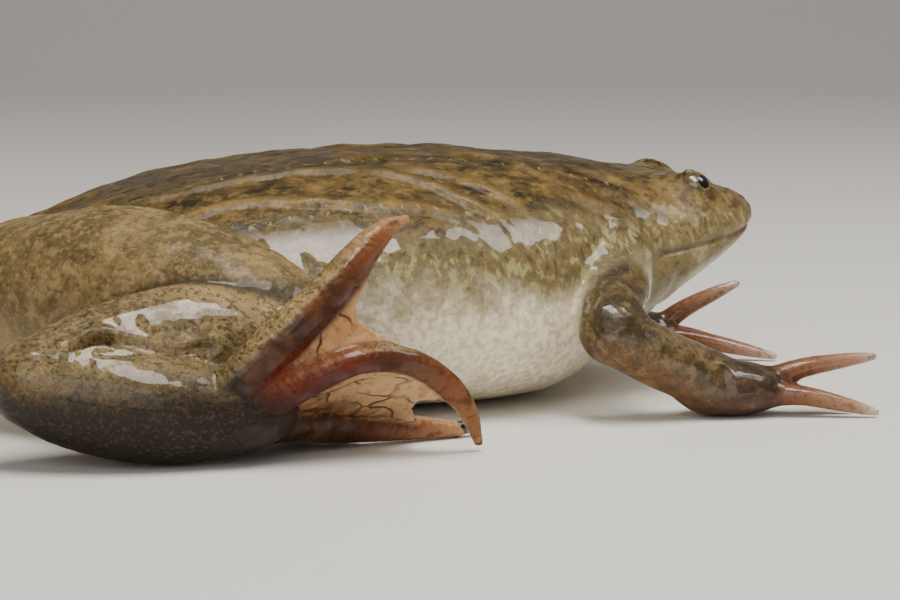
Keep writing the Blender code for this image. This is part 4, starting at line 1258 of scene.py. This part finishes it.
    # Webs, with veins that fan out from the foot's base
    reach, turn = n.times(n.mask("fan_reach"), 9.0), n.times(n.mask("fan_turn"), 34.0)
    fan = n.put("ShaderNodeCombineXYZ", {}, n0=reach, n1=turn).outputs[0]
    waves = n.put("ShaderNodeTexNoise", {}, Scale=330.0, Detail=1.0, Vector=place)
    fan = n.put("ShaderNodeVectorMath", {"operation": "ADD"}, n0=fan, n1=waves.outputs["Color"]).outputs[0]
    edges = {"feature": "DISTANCE_TO_EDGE", "voronoi_dimensions": "2D"}
    veins = n.put("ShaderNodeTexVoronoi", edges, Scale=1.0, Vector=fan)
    vein = n.step(veins.outputs["Distance"], 0.075, 0.03)
    vein = n.times(vein, n.step(n.noise(place, 260, 1), 0.40, 0.56, 0.1, 1.0))
    sheet = n.mix(n.step(blotch, 0.35, 0.65), WEB_DARK, WEB)
    sheet = n.mix(n.step(grain, 0.48, 0.34, 0.0, 0.35), sheet, SOLE)
    rooted = n.times(n.mask("near_root"), n.step(patch, 0.62, 0.44, 0.45, 1.0))
    sheet = n.mix(rooted, sheet, n.mix(n.step(mottle, 0.42, 0.56), SOLE_DARK, SOLE_OCHRE))
    third = n.times(n.mask("beside_third"), n.step(patch, 0.60, 0.40, 0.5, 1.0))
    sheet = n.mix(third, sheet, n.mix(n.step(mottle, 0.42, 0.58), SOLE_DARK, SOLE_OCHRE))
    sheet = n.mix(n.times(vein, 0.85), sheet, VEIN)

    # All together, with the side lines' stitches, the slit and the mouth
    skin = n.mix(leg, trunk, legs)
    skin = n.mix(arm, skin, arms)
    edge = n.stray(foot, patch, 0.7)
    skin = n.mix(n.times(leg, n.step(edge, 0.35, 0.65)), skin, feet)
    skin = n.mix(web, skin, sheet)
    dots = n.times(n.mask("stitch_along"), 100 / STITCH_PITCH)
    dots = n.plus(dots, n.times(n.noise(place, 330, 2), 1.6))
    dots = n.math("ABSOLUTE", n.minus(n.math("FRACT", dots), 0.5))
    stitch = n.times(n.step(dots, 0.13, 0.05), n.step(n.mask("stitch_gap"), 0.17, 0.08))
    stitch = n.times(stitch, n.step(n.plus(leg, arm), 0.4, 0.1))
    skin = n.mix(n.times(stitch, n.step(grain, 0.4, 0.6, 0.05, 0.4)), skin, STITCH)
    skin = n.mix(n.times(n.mask("slit"), 0.8), skin, SOLE_OCHRE)
    # Painted shade in the mouth's groove and under the slit's upper lip.
    skin = n.mix(n.times(n.mask("mouth"), 0.8), skin, MOUTH_AND_SLIT_SHADE)
    n.feed(shader.inputs["Base Color"], skin)

    # Relief, roughness and wetness
    pores = n.put("ShaderNodeTexVoronoi", {"feature": "SMOOTH_F1"}, Scale=1300.0, Vector=place)
    relief = n.plus(n.times(grain, 0.7), n.times(pores.outputs["Distance"], 0.5))
    relief = n.plus(relief, n.times(n.noise(place, 2600, 2), 0.2))
    relief = n.plus(relief, n.times(stitch, 0.3))
    rings = n.plus(n.times(share, 26.0), n.times(n.noise(place, 420, 2), 2.5))
    rings = n.times(n.math("ABSOLUTE", n.minus(n.math("FRACT", rings), 0.5)), 1.6)
    relief = n.plus(relief, n.times(rings, n.times(foot, n.minus(1.0, web))))
    relief = n.plus(relief, n.times(n.times(vein, web), 0.35))
    bump = n.put("ShaderNodeBump", {}, Strength=0.5, Distance=0.0004, Height=relief)
    n.feed(shader.inputs["Normal"], bump.outputs[0])
    rough = n.step(n.noise(place, 300), 0.3, 0.7, 0.36, 0.54)
    n.feed(shader.inputs["Roughness"], n.plus(rough, n.times(leg, 0.14)))
    wet = n.step(height, 0.84, 0.79, 0.08, 0.9)
    wet = n.blend(head, wet, n.step(mottle, 0.48, 0.60, 0.08, 0.4))
    leg_wet = n.times(n.step(patch, 0.40, 0.52, 0.35, 0.85), n.minus(1.0, n.times(low, 0.95)))
    leg_wet = n.blend(foot, leg_wet, n.step(patch, 0.44, 0.62, 0.04, 0.5))
    wet = n.blend(leg, wet, n.blend(low_leg, 0.10, leg_wet))
    arm_wet = n.times(n.step(patch, 0.42, 0.55, 0.2, 0.95), n.step(under, 0.1, 0.6, 1.0, 0.35))
    n.feed(shader.inputs["Coat Weight"], n.blend(arm, wet, arm_wet))
    return material


def eye_material():
    """A black round pupil in a dark golden iris, under a wet cornea."""
    constants = {"Roughness": 0.25, "Coat Weight": 1.0, "Coat Roughness": 0.05}
    material, shader, n = new_material("eye_glass", constants)
    place = n.put("ShaderNodeTexCoord").outputs["Object"]
    off_gaze = n.mask("off_gaze")
    flecks = n.noise(place, 1800, 4, 0.7, 0.5)
    iris = n.mix(n.step(flecks, 0.40, 0.62), colour(62, 52, 28), colour(120, 102, 62))
    iris = n.mix(n.step(off_gaze, 0.13, 0.16, 0.3, 0.0), iris, colour(146, 122, 66))
    iris = n.mix(n.step(off_gaze, 0.24, 0.34), iris, n.mix(n.step(flecks, 0.4, 0.6), BACK_DARK, BACK_LIGHT))
    eye = n.mix(n.step(off_gaze, 0.126, 0.133), colour(3, 3, 3), iris)
    n.feed(shader.inputs["Base Color"], eye)
    return material


def claw_material():
    """Dark horn with faint streaks."""
    material, shader, n = new_material("claw_horn", {"Coat Weight": 0.5, "Coat Roughness": 0.1})
    place = n.put("ShaderNodeTexCoord").outputs["Object"]
    streak = n.noise(place, 1500, 3, 0.6)
    horn = n.mix(n.step(streak, 0.4, 0.65), colour(18, 15, 13), colour(52, 42, 34))
    n.feed(shader.inputs["Base Color"], horn)
    n.feed(shader.inputs["Roughness"], n.step(streak, 0.3, 0.7, 0.2, 0.36))
    return material


make_camera()
make_stage()
skin = make_skin()
skin.data.materials.clear()
skin.data.materials.append(skin_material())
flesh = [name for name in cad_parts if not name.startswith(("eye_", "claw_"))]
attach(skin, "root")
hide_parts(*flesh)

eye_look, claw_look = eye_material(), claw_material()
for side, label in SIDES.items():
    eye = make_eye(side)
    eye.data.materials.append(eye_look)
    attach(eye, "root")
    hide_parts("eye_" + label)
    for number in CLAWED_TOES:
        horn = make_claw(side, number)
        horn.data.materials.append(claw_look)
        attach(horn, "root")
        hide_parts(f"claw_{label}_{number}")
